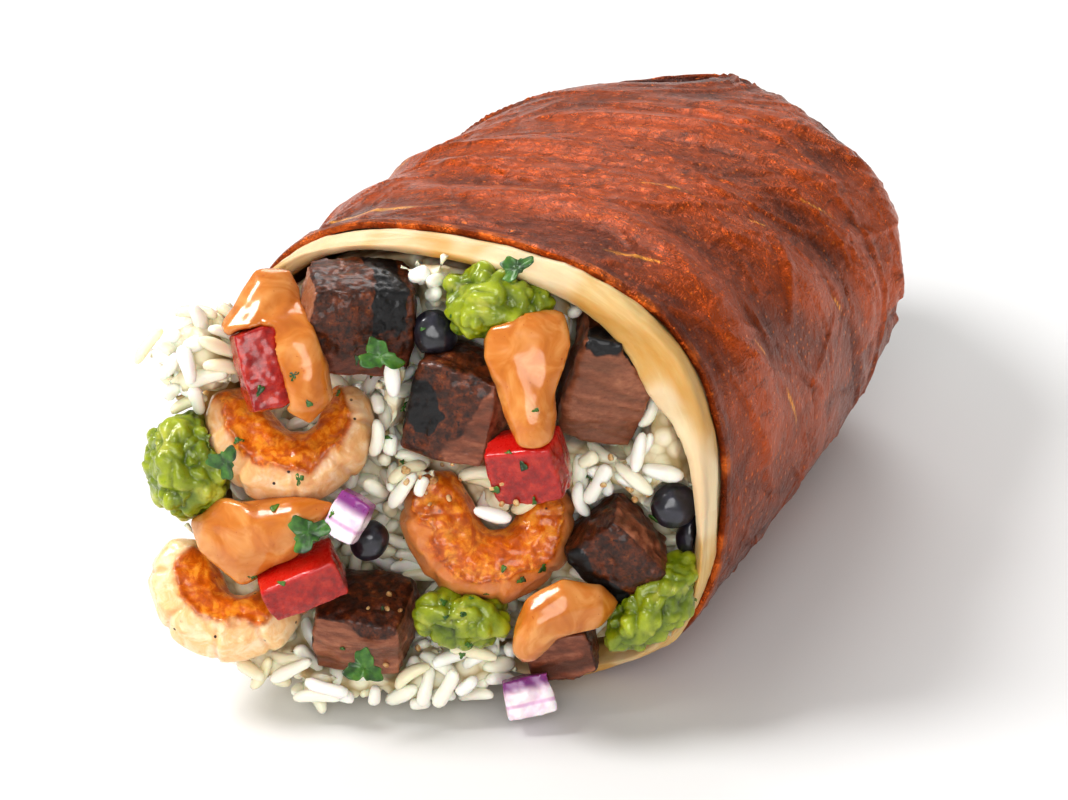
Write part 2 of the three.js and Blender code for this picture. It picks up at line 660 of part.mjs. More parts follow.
const random = randomFrom(20260711);
const blockers = [...Object.values(solids).filter(({ wide }) => wide).map(({ wide }) => wide), floorCut];
const placed = [];
for (const { at, size, grains } of mounds) {
  let kept = 0;
  for (let tries = 0; kept < grains && tries < grains * 160; tries++) {
    const turn = random() * 2 * Math.PI;
    const reach = Math.sqrt(random()) * 0.96;
    const rise = Math.sqrt(1 - reach * reach);
    const turns = [(random() - 0.5) * 50, (random() - 0.5) * 50, random() * 180];
    const length = grainLength * (0.86 + 0.28 * random());
    const width = grainWidth * (0.92 + 0.16 * random());
    // From the top of the mound inward, until the grain holds to the rice
    for (const sunk of [0.4, -0.8, -2, -3.2]) {
      const centre = [
        at[0] + reach * Math.cos(turn) * size[0] * 0.5,
        at[1] + reach * Math.sin(turn) * size[1] * 0.5,
        at[2] + rise * size[2] * 0.5 + sunk,
      ];
      const middle = onFace(...centre);
      if (placed.some((p) => p.distanceTo(middle) < 2.4)) {
        break;
      }
      const body = solidOf(place(grain(length, width), centre, turns));
      const host = riceBodies.findIndex((rice) => rice.intersect(body).volume() > 2);
      if (host < 0) {
        continue;
      }
      const room = solidOf(place(grain(length + 0.8, width + 0.8), centre, turns));
      const other = riceBodies[1 - host];
      const blocked = blockers.some((blocker) => !body.intersect(blocker).isEmpty());
      if (blocked || !other.intersect(room).isEmpty()) {
        break;
      }
      const joined = riceBodies[host].add(body);
      if (joined.decompose().length === 1) {
        riceBodies[host] = joined;
        placed.push(middle);
        kept += 1;
      }
      break;
    }
  }
}
solids.rice_filling = { solid: riceBodies[0] };
solids.rice_clump = { solid: riceBodies[1] };

const finishes = {
  foil: [0x8f4226, 0.34, 0.85],
  tortilla: [0xe6cf9c, 0.7, 0],
  rice: [0xf1eee4, 0.5, 0],
  steak: [0x5a3423, 0.5, 0],
  shrimp: [0xd9894f, 0.45, 0],
  tomato: [0xc2312a, 0.35, 0],
  onion: [0xc9a3c4, 0.4, 0],
  bean: [0x1d1b26, 0.3, 0],
  guacamole: [0x9bb53c, 0.45, 0],
  sauce: [0xd98f57, 0.35, 0],
  cilantro: [0x2f5a22, 0.5, 0],
};

const burrito = new THREE.Group();
burrito.name = 'burrito';
for (const [name, { solid }] of Object.entries(solids)) {
  const [color, roughness, metalness] = finishes[name.split('_')[0]];
  const geometry = geometryOf(solid);
  for (const share of [0.25, 0.6, 1]) {
    joinNearPoints(geometry, nearest * share);
    turnThinEdges(geometry, thinnest);
  }
  geometry.computeVertexNormals();
  const mesh = new THREE.Mesh(geometry, new THREE.MeshStandardMaterial({ color, roughness, metalness }));
  mesh.name = name;
  burrito.add(mesh);
}

// The origin is the middle of the underside of the whole
const bounds = new THREE.Box3().setFromObject(burrito);
const middle = bounds.getCenter(new THREE.Vector3());
for (const mesh of burrito.children) {
  mesh.geometry.translate(-middle.x, -middle.y, -bounds.min.z);
}

export default burrito;
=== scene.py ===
"""Burrito on its side: a foil wrap round a rolled tortilla, with the filling showing at the open end.

Sizes in the code are in millimetres and the finished pieces are in metres. The roll lies along +Y,
its open end faces -Y, and +Z is up.
"""

import json
import math

import bpy
import numpy as np
from bpy.props import FloatProperty, FloatVectorProperty, IntProperty, PointerProperty
from mathutils import Euler, Matrix, Vector
from mathutils.bvhtree import BVHTree

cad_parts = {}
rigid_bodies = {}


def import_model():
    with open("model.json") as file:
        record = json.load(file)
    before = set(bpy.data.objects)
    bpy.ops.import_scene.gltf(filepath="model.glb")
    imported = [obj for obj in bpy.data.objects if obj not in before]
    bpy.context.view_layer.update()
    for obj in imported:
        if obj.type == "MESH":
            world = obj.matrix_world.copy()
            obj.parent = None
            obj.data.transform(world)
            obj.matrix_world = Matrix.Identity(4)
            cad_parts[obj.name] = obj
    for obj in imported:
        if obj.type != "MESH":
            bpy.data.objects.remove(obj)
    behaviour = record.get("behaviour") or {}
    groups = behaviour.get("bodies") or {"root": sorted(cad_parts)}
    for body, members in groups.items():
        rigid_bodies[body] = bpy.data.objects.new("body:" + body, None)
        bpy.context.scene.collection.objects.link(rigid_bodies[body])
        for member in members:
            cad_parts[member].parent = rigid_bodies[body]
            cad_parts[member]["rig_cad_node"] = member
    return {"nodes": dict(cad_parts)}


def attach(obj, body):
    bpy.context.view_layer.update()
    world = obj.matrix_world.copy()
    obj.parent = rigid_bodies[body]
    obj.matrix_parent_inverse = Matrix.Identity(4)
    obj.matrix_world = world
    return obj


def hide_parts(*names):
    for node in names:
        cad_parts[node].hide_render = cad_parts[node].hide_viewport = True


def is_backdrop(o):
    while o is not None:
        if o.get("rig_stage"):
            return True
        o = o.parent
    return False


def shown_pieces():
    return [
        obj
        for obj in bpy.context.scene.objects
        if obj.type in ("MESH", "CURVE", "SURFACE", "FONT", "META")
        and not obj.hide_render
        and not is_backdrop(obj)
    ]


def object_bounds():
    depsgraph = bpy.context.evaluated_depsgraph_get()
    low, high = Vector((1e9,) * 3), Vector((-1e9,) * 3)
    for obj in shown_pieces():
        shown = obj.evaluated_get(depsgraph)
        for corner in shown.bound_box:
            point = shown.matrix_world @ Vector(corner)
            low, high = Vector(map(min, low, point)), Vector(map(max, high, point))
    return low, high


bl_info = {
    "name": "Wrapped burrito",
    "version": (1, 0, 0),
    "blender": (4, 5, 0),
    "location": "3D View > Sidebar > Burrito",
    "description": "Builds a foil-wrapped burrito with its filling at the open end",
    "category": "Object",
}

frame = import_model()
CAD_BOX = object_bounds()

# Form of the roll, the same as its solids
MOUTH_HALF_WIDTH = 45.0
MOUTH_HALF_HEIGHT = 41.6
FOIL_LENGTH = 147.0
SHOULDER = 0.725
SAG = 0.8
SQUARENESS = 2.6
CREASE_HEIGHT = 1.5
PLEAT_DEPTH = 3.2
LIP_THICKNESS = 3.2
LIP_EXTRA = 5.2
DEEP_THICKNESS = 3.2
TORTILLA_DEPTH = 1.65
LIP_STEPS = [(0, 4.2), (45, 3.2), (90, 3.4), (120, 4.6), (150, 9.5), (185, 25), (215, 22), (245, 15),
             (275, 8), (300, 4), (360.1, 4.2)]
FACE_POINT = Vector((0, -17, 41))
FACE_OUT = Vector((0.28, -1, 0.15)).normalized()
FACE_ACROSS = Vector((1, 0.28, 0)).normalized()
FACE_UP = FACE_OUT.cross(FACE_ACROSS)

# Where the photograph was taken from, and what it looks at
CAMERA_SPOT = (154.6, -392.9, 269.2)
CAMERA_AIM = (-0.837, 30.336, 35.267)
VIEW_GAMMA = 0.87
FLOOR_SIZE = 40
WORLD_COLOUR = (1.0, 0.985, 0.955, 1)
WORLD_STRENGTH = 0.5

# Starts of the random draws
CREASE_SEED, GRAIN_SEED, HERB_SEED = 412, 71, 9

# Mean radius of the roll, on which flat patterns are wound
ROUND_RADIUS = 44.0

# Points round the sheets, and along the foil that shows
FOIL_AROUND, FOIL_ALONG, TORTILLA_AROUND = 440, 196, 330

# The closed end's tip tells where the roll stands in the part's frame
_tip = max((v.co for v in frame["nodes"]["foil_wrap"].data.vertices), key=lambda co: co.y)
SHIFT = np.array([_tip.x * 1000, _tip.y * 1000 - FOIL_LENGTH, 0.0])


# Colours, lengths and small rules

def colour(code):
    """Linear colour from a hex code as seen on a screen."""
    parts = [int(code[k:k + 2], 16) / 255 for k in (0, 2, 4)]
    return tuple(c / 12.92 if c <= 0.04045 else ((c + 0.055) / 1.055) ** 2.4 for c in parts)


def smooth(low, high, value):
    t = np.clip((value - low) / (high - low), 0, 1)
    return t * t * (3 - 2 * t)


def bent(value, power):
    return np.sign(value) * np.abs(value) ** power


def cloud(points, size, seed=0):
    """Soft noise from -1 to 1 whose lumps are `size` across."""
    q = np.asarray(points, float) / size + seed * 3.71
    cell = np.floor(q).astype(np.int64)
    f = q - cell
    f = f * f * (3 - 2 * f)
    total = np.zeros(len(q))
    for dx in (0, 1):
        for dy in (0, 1):
            for dz in (0, 1):
                c = cell + (dx, dy, dz)
                h = (c[:, 0] * 73856093) ^ (c[:, 1] * 19349663) ^ (c[:, 2] * 83492791) ^ (seed * 2654435)
                h = (h * 1103515245 + 12345) & 0x7FFFFFFF
                h = ((h ^ (h >> 13)) * 60493) & 0x7FFFFFFF
                value = (h ^ (h >> 11)) / 0x3FFFFFFF - 1
                share = np.where(dx, f[:, 0], 1 - f[:, 0]) * np.where(dy, f[:, 1], 1 - f[:, 1])
                total += share * np.where(dz, f[:, 2], 1 - f[:, 2]) * value
    return total


def clouds(points, size, octaves=3, seed=0):
    return sum(cloud(points, size / 2 ** k, seed + k) * 0.5 ** k for k in range(octaves))


# The roll's surface

def section(y):
    along = np.clip(y / FOIL_LENGTH, 0, 1)
    past = np.maximum(0, (along - SHOULDER) / (1 - SHOULDER))
    cap = np.maximum(0, 1 - past ** 1.5) ** (1 / 1.5)
    half_height = MOUTH_HALF_HEIGHT * (1 - 0.375 * along + 0.124 * along * along)
    width = MOUTH_HALF_WIDTH * (1 + 0.338 * along - 0.311 * along * along) * cap
    centre = half_height * (1 + 0.83 * (1 - cap)) - SAG
    lean = np.maximum(0, 1 - along / 0.45)
    return width, half_height * cap, centre, lean


def roll_point(angle, y):
    """Points on the outside of the roll; angle 0 is the right side, a quarter turn is the top."""
    width, height, centre, lean = section(y)
    x = width * bent(np.cos(angle), 2 / SQUARENESS)
    z = height * bent(np.sin(angle), 2 / SQUARENESS)
    lift = np.where(y < 0, 3.6 * smooth(0, 24, -y) * smooth(-0.2, -0.95, np.sin(angle)), 0)
    return np.stack([x, y - lean * (0.061 * x + 0.048 * z), np.maximum(z + centre, lift)], -1)


def roll_normal(angle, y):
    at = np.minimum(y, FOIL_LENGTH - 1.5)
    turn = roll_point(angle + 0.03, at) - roll_point(angle - 0.03, at)
    travel = roll_point(angle, at + 0.6) - roll_point(angle, at - 0.6)
    normal = np.cross(travel, turn)
    return normal / np.maximum(np.linalg.norm(normal, axis=-1, keepdims=True), 1e-9)


def under_point(angle, y, depth):
    point = roll_point(angle, y) - roll_normal(angle, y) * np.asarray(depth)[..., None]
    point[..., 2] = np.maximum(point[..., 2], depth)
    return point


def crease(angle, y):
    """Raised creases of the foil that run slantwise."""
    height = 0
    for start, slope, centre, width, size in (
            (20, 0.30, 0.9, 5.5, 1.0), (44, -0.22, 1.5, 6.5, 0.9), (63, 0.35, 2.1, 6.0, 1.0),
            (88, -0.30, 1.2, 7.0, 0.8), (104, 0.25, 0.4, 6.0, 0.9), (34, 0.45, 2.6, 5.0, 0.6),
            (76, 0.10, 0.2, 6.0, 0.7)):
        away = y - start - slope * 60 * (angle - centre) / math.pi - 3 * np.sin(angle * 5 + start)
        reach = np.exp(-((angle - centre) / 1.1) ** 2)
        height = height + size * reach * np.exp(-(away / width) ** 2)
    under = smooth(-0.35, 0.1, np.sin(angle))
    folds = np.abs(np.sin(angle * 4.5 + y * 0.05)) ** 3 * 0.35
    return CREASE_HEIGHT * np.minimum(1.2, height + folds) * under * smooth(0, 12, y)


def pleat(angle, y):
    """Folds of the foil tucked in at the closed end."""
    wave = 0.5 - 0.5 * np.cos(angle * 9 + 1.4 * np.sin(angle * 2))
    reach = smooth(FOIL_LENGTH * 0.8, FOIL_LENGTH * 0.95, y) * smooth(FOIL_LENGTH, FOIL_LENGTH * 0.975, y)
    return -PLEAT_DEPTH * wave * wave * reach


def lip_depth(angle):
    away = np.arctan2(np.sin(angle - 0.56), np.cos(angle - 0.56))
    return LIP_THICKNESS + LIP_EXTRA * np.exp(-(away / np.where(away < 0, 0.36, 0.8)) ** 2)


def lip_reach(angle):
    """How far the tortilla's lip stands out of the foil."""
    turns = np.degrees(angle) % 360
    degrees, reach = np.array(LIP_STEPS, float).T
    k = np.clip(np.searchsorted(degrees, turns, side="right") - 1, 0, len(degrees) - 2)
    t = np.clip((turns - degrees[k]) / (degrees[k + 1] - degrees[k]), 0, 1)
    return reach[k] + (reach[k + 1] - reach[k]) * t * t * (3 - 2 * t)


def lip_point(angle, depth, forward, share=1.0):
    return under_point(angle, -lip_reach(angle) * share - forward, depth)


FACE = Matrix((
    (FACE_ACROSS.x, FACE_UP.x, FACE_OUT.x, FACE_POINT.x),
    (FACE_ACROSS.y, FACE_UP.y, FACE_OUT.y, FACE_POINT.y),
    (FACE_ACROSS.z, FACE_UP.z, FACE_OUT.z, FACE_POINT.z),
    (0, 0, 0, 1),
))


def place(at, turns=(0, 0, 0)):
    """Matrix that puts a piece on the slanting face: place across, up, out; turns in degrees."""
    turned = Euler([math.radians(t) for t in turns], "XYZ").to_matrix().to_4x4()
    return FACE @ Matrix.Translation(at) @ turned


def moved(points, matrix):
    m = np.array(matrix, float)
    return np.asarray(points) @ m[:3, :3].T + m[:3, 3]


# Meshes

def read_points(piece):
    co = np.zeros(len(piece.data.vertices) * 3, np.float32)
    piece.data.vertices.foreach_get("co", co)
    return co.reshape(-1, 3).astype(float) * 1000 - SHIFT


def write_points(piece, points):
    co = ((np.asarray(points) + SHIFT) / 1000).astype(np.float32)
    piece.data.vertices.foreach_set("co", co.ravel())
    piece.data.update()


def read_normals(piece):
    normals = np.zeros(len(piece.data.vertices) * 3, np.float32)
    piece.data.vertex_normals.foreach_get("vector", normals)
    return normals.reshape(-1, 3).astype(float)


def write_share(piece, name, values):
    """Keeps a number from 0 to 1 for each point, which the piece's material reads."""
    attribute = piece.data.attributes.get(name) or piece.data.attributes.new(name, "FLOAT", "POINT")
    attribute.data.foreach_set("value", np.clip(values, 0, 1).astype(np.float32))


def pick(*pieces):
    bpy.ops.object.select_all(action="DESELECT")
    for piece in pieces:
        piece.select_set(True)
    bpy.context.view_layer.objects.active = pieces[-1]


def apply(piece, kind, **values):
    """Adds a modifier and applies it."""
    pick(piece)
    modifier = piece.modifiers.new(kind.lower(), kind)
    for key, value in values.items():
        setattr(modifier, key, value)
    bpy.ops.object.modifier_apply(modifier=modifier.name)


def join_seam(piece, distance=1e-6):
    """Joins points that lie together and turns the faces outward."""
    pick(piece)
    bpy.ops.object.mode_set(mode="EDIT")
    bpy.ops.mesh.select_all(action="SELECT")
    bpy.ops.mesh.remove_doubles(threshold=distance)
    bpy.ops.mesh.normals_make_consistent(inside=False)
    bpy.ops.object.mode_set(mode="OBJECT")


def copy_of(node, name):
    """A copy of a solid, its loose triangles joined into one skin."""
    source = frame["nodes"][node]
    pick(source)
    bpy.ops.object.duplicate()
    piece = bpy.context.active_object
    piece.name = piece.data.name = name
    piece.parent = None
    piece.matrix_world = Matrix.Identity(4)
    for key in list(piece.keys()):
        del piece[key]
    piece.data.materials.clear()
    join_seam(piece, 2e-6)
    return piece


def kneaded(node, name, voxel, rounds, grow=0.0):
    """A copy of a solid with an even fine skin and soft edges."""
    piece = copy_of(node, name)
    apply(piece, "REMESH", mode="VOXEL", voxel_size=voxel / 1000, adaptivity=0)
    if rounds:
        apply(piece, "SMOOTH", factor=0.5, iterations=rounds)
    if grow:
        write_points(piece, read_points(piece) + read_normals(piece) * grow)
    return piece


def push(piece, amount):
    """Moves each point along its normal by `amount` mm."""
    write_points(piece, read_points(piece) + read_normals(piece) * np.asarray(amount)[:, None])


def new_grid(name, around, along):
    """A flat grid that is then wrapped; gives each point's column and row too."""
    bpy.ops.object.select_all(action="DESELECT")
    bpy.ops.mesh.primitive_grid_add(x_subdivisions=around, y_subdivisions=along, size=2)
    piece = bpy.context.active_object
    piece.name = piece.data.name = name
    co = np.zeros(len(piece.data.vertices) * 3, np.float32)
    piece.data.vertices.foreach_get("co", co)
    co = co.reshape(-1, 3)
    column = np.rint((co[:, 0] + 1) / 2 * around).astype(int)
    row = np.rint((co[:, 1] + 1) / 2 * along).astype(int)
    return piece, column, row


def set_pattern_map(piece, across, along):
    """Writes a pattern map in millimetres from each point's values."""
    corners = np.zeros(len(piece.data.loops), np.int32)
    piece.data.loops.foreach_get("vertex_index", corners)
    layer = piece.data.uv_layers.active or piece.data.uv_layers.new(name="pattern")
    layer.data.foreach_set("uv", np.stack([across[corners], along[corners]], -1).astype(np.float32).ravel())


class Heap:
    """Many small things that become one piece."""

    def __init__(self):
        self.points, self.faces, self.count = [], [], 0

    def add(self, points, faces):
        self.points.append(points)
        self.faces.extend([[i + self.count for i in face] for face in faces])
        self.count += len(points)

    def piece(self, name):
        return merged_mesh(name, np.concatenate(self.points), self.faces)


def merged_mesh(name, points, faces):
    """One piece from points in mm and faces."""
    mesh = bpy.data.meshes.new(name)
    mesh.from_pydata(((np.asarray(points) + SHIFT) / 1000).tolist(), [], faces)
    mesh.update()
    piece = bpy.data.objects.new(name, mesh)
    bpy.context.scene.collection.objects.link(piece)
    return piece


def finish_piece(piece, material, slot, *nodes):
    pick(piece)
    bpy.ops.object.shade_smooth()
    piece.data.materials.clear()
    piece.data.materials.append(material)
    if nodes:
        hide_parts(*nodes)
    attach(piece, "root")


def own_axes(piece, at, turns):
    """A piece's points and normals as seen from its own axes."""
    back = np.array(place(at, turns).inverted(), float)
    return moved(read_points(piece), back), read_normals(piece) @ back[:3, :3].T


def skin_tree(pieces):
    """A search tree over the skins of pieces, in mm."""
    points, faces, start = [], [], 0
    for piece in pieces:
        own = read_points(piece)
        piece.data.calc_loop_triangles()
        corners = np.zeros(len(piece.data.loop_triangles) * 3, np.int32)
        piece.data.loop_triangles.foreach_get("vertices", corners)
        faces.append(corners.reshape(-1, 3) + start)
        points.append(own)
        start += len(own)
    return BVHTree.FromPolygons(np.concatenate(points).tolist(), np.concatenate(faces).tolist())


def clearance(tree, point):
    """Distance from a point to the nearest skin, below zero inside it."""
    found, normal, _, distance = tree.find_nearest(point)
    if found is None:
        return 1e3
    return distance if (Vector(point) - found).dot(normal) >= 0 else -distance


# Finishes

class Finish:
    """Builds one procedural material, with patterns sized in millimetres."""

    def __init__(self, name, soft=(0, 1), coat=(0, 0), bleed=(1.0, 0.2, 0.1), **values):
        """soft is how much light sinks in and how far in mm, coat how wet the skin is and how rough."""
        self.material = bpy.data.materials.new(name)
        self.material.use_nodes = True
        self.tree = self.material.node_tree
        self.shader = self.tree.nodes["Principled BSDF"]
        values.update(Subsurface_Weight=soft[0], Subsurface_Scale=soft[1] / 1000, Subsurface_Radius=bleed,
                      Coat_Weight=coat[0], Coat_Roughness=coat[1])
        for socket, value in values.items():
            self.shader.inputs[socket.replace("_", " ")].default_value = value
        self.place = self.add("ShaderNodeTexCoord").outputs["Object"]

    def add(self, kind, inputs=(), **settings):
        node = self.tree.nodes.new(kind)
        for key, value in settings.items():
            setattr(node, key, value)
        for key, value in dict(inputs).items():
            if isinstance(value, bpy.types.NodeSocket):
                self.tree.links.new(value, node.inputs[key])
            else:
                node.inputs[key].default_value = value
        return node

    def pattern_map(self):
        return self.add("ShaderNodeUVMap").outputs["UV"]

    def stretched(self, stretch, turn=(0, 0, 0), source=None):
        turned = [math.radians(t) for t in turn]
        inputs = {"Vector": source or self.place, "Scale": stretch, "Rotation": turned}
        return self.add("ShaderNodeMapping", inputs).outputs["Vector"]

    def noise(self, size, detail=3.0, roughness=0.5, source=None, warp=0.0, unit=1000):
        inputs = {"Vector": source or self.place, "Scale": unit / size, "Detail": detail,
                  "Roughness": roughness, "Distortion": warp}
        return self.add("ShaderNodeTexNoise", inputs).outputs["Fac"]

    def cells(self, size, output="Distance", source=None, unit=1000, randomness=1.0):
        inputs = {"Vector": source or self.place, "Scale": unit / size, "Randomness": randomness}
        return self.add("ShaderNodeTexVoronoi", inputs).outputs[output]

    def share(self, name):
        return self.add("ShaderNodeAttribute", attribute_name=name).outputs["Fac"]

    def shade(self, value):
        """A shade from a socket, a hex code or a setting."""
        if isinstance(value, bpy.types.NodeSocket):
            return value
        return (*(colour(value) if isinstance(value, str) else value), 1)[:4]

    def ramp(self, value, *stops):
        """Number to colour through (place, colour) stops."""
        node = self.add("ShaderNodeValToRGB", {"Fac": value})
        points = node.color_ramp.elements
        for point, (at, shade) in zip(points, (stops[0], stops[-1])):
            point.position, point.color = at, self.shade(shade)
        for at, shade in stops[1:-1]:
            points.new(at).color = self.shade(shade)
        return node.outputs["Color"]

    def step(self, value, low, high):
        """Number to number, 0 below low and 1 above high."""
        inputs = {"Value": value, "From Min": low, "From Max": high}
        node = self.add("ShaderNodeMapRange", inputs, interpolation_type="SMOOTHSTEP")
        return node.outputs["Result"]

    def between(self, value, low, high):
        """Number from 0..1 to low..high."""
        inputs = {"Value": value, "To Min": low, "To Max": high}
        return self.add("ShaderNodeMapRange", inputs).outputs["Result"]

    def math(self, operation, a, b=0.0):
        return self.add("ShaderNodeMath", {0: a, 1: b}, operation=operation).outputs[0]

    def times(self, a, b):
        return self.math("MULTIPLY", a, b)

    def plus(self, a, b):
        return self.math("ADD", a, b)

    def mix(self, share, a, b):
        inputs = {0: share, 6: self.shade(a), 7: self.shade(b)}
        return self.add("ShaderNodeMix", inputs, data_type="RGBA").outputs[2]

    def done(self, shade, roughness, *layers):
        """Joins the shade, the roughness (number, low, high) and the bumps (height, strength, mm)."""
        self.tree.links.new(shade, self.shader.inputs["Base Color"])
        self.tree.links.new(self.between(*roughness), self.shader.inputs["Roughness"])
        normal = {}
        for height, strength, distance in layers:
            inputs = {"Height": height, "Strength": strength, "Distance": distance / 1000, **normal}
            normal = {"Normal": self.add("ShaderNodeBump", inputs).outputs["Normal"]}
        self.tree.links.new(normal["Normal"], self.shader.inputs["Normal"])
        return self.material


def colour_setting(name, description, code):
    return FloatVectorProperty(name=name, description=description, subtype="COLOR", size=3, min=0, max=1,
                               default=colour(code))


class BurritoWrapSettings(bpy.types.PropertyGroup):
    foil_colour: colour_setting("Foil colour", "Main colour of the foil", "a0440c")
    # Painted shade: the colour put into the foil's creases.
    foil_crease_shade: colour_setting("Foil shade", "Painted shade of the foil in its creases", "4e1a06")
    # Painted sparkle: the bright colour that a random share of the embossed dots gets.
    dot_sparkle_colour: colour_setting("Dot sparkle colour", "Painted sparkle colour of the embossed dots", "ff8a2c")
    dot_pitch: FloatProperty(name="Dot pitch", description="Distance between embossed dots", default=0.0019,
                             min=0.0005, max=0.01, unit="LENGTH")
    wrinkles: IntProperty(name="Wrinkles", description="Number of small creases in the foil", default=700,
                          min=0, max=2000)
    tortilla_colour: colour_setting("Tortilla colour", "Main colour of the tortilla", "d0a866")
    toast_colour: colour_setting("Toast colour", "Colour of its toasted streaks", "cf9a48")


class BurritoFillingSettings(bpy.types.PropertyGroup):
    grain_length: FloatProperty(name="Grain length", description="Length of a grain of rice", default=0.0074,
                                min=0.003, max=0.012, unit="LENGTH")
    grain_width: FloatProperty(name="Grain width", description="Width of a grain of rice", default=0.0026,
                               min=0.001, max=0.004, unit="LENGTH")
    grain_tries: IntProperty(name="Grain tries", description="Places tried for grains of rice", default=22000,
                             min=100, max=40000)
    rice_colour: colour_setting("Rice colour", "Colour of the rice", "fbf7e6")
    crust_colour: colour_setting("Crust colour", "Colour of the steak's crust", "4a210b")
    meat_colour: colour_setting("Meat colour", "Colour of the steak's cut faces", "7c4028")
    sear_colour: colour_setting("Sear colour", "Colour of the shrimp's seared side", "d46c06")
    shrimp_colour: colour_setting("Shrimp colour", "Colour of the shrimp's sides", "f2cb92")
    tomato_colour: colour_setting("Tomato colour", "Colour of the tomato's skin", "c8140c")
    onion_colour: colour_setting("Onion colour", "Colour of the onion's skin", "8a3486")
    bean_colour: colour_setting("Bean colour", "Colour of the beans", "16161f")
    guacamole_colour: colour_setting("Guacamole colour", "Main colour of the guacamole", "849206")
    sauce_colour: colour_setting("Sauce colour", "Colour of the sauce", "cc7c2c")
    herb_colour: colour_setting("Herb colour", "Colour of the cilantro", "3a6e1c")


class BurritoStageSettings(bpy.types.PropertyGroup):
    floor_colour: colour_setting("Floor colour", "Colour of the floor", "eeeeee")
    key_power: FloatProperty(name="Key light", description="Power of the key light", default=8.4, min=0,
                             unit="POWER")
    focal_length: FloatProperty(name="Focal length", description="Focal length of the camera", default=94.2,
                                min=20, max=300)


# Wrap

def foil_creases(angle, y, count):
    """Small sharp creases, most of them slantwise, on the whole of the foil."""
    random = np.random.default_rng(CREASE_SEED)
    relief = np.zeros_like(angle)
    for _ in range(count):
        at, start = random.uniform(-math.pi, math.pi), random.uniform(-4, FOIL_LENGTH)
        heading = random.normal(0.86, 0.35) if random.random() < 0.72 else random.uniform(0, math.pi)
        big = random.random() < 0.16
        length = random.uniform(14, 42) if big else random.uniform(4, 18)
        width = random.uniform(1.6, 4.2) if big else random.uniform(0.7, 2.2)
        height = random.uniform(0.3, 0.75) if big else random.uniform(0.12, 0.4)
        height *= random.choice([-1, 1, 1])
        bow = random.uniform(-0.012, 0.012)
        s = ((angle - at + math.pi) % (2 * math.pi) - math.pi) * ROUND_RADIUS
        d = y - start
        near = (np.abs(s) < length + width) & (np.abs(d) < length + width)
        s, d = s[near], d[near]
        along = d * math.cos(heading) - s * math.sin(heading)
        across = d * math.sin(heading) + s * math.cos(heading) + bow * along * along
        steep = np.where(across > 0, width, width * 0.45)
        slope = np.maximum(0, 1 - np.abs(across) / steep)
        relief[near] += height * slope * np.maximum(0, 1 - (along / length) ** 2)
    return relief


GLINTS = [
    # angle, place along the roll, length, width of the painted glints
    (1.98, 9, 15, 1.3), (1.12, 12, 6, 0.9), (1.3, 46, 5, 0.6), (0.9, 52, 4, 0.5), (0.42, 22, 4, 0.5),
    (0.1, 30, 5, 0.6), (-0.2, 42, 5, 0.5), (1.6, 30, 7, 0.5), (0.75, 75, 6, 0.5), (0.3, 60, 5, 0.5),
    (2.4, 60, 7, 0.6), (3.6, 45, 7, 0.6),
]


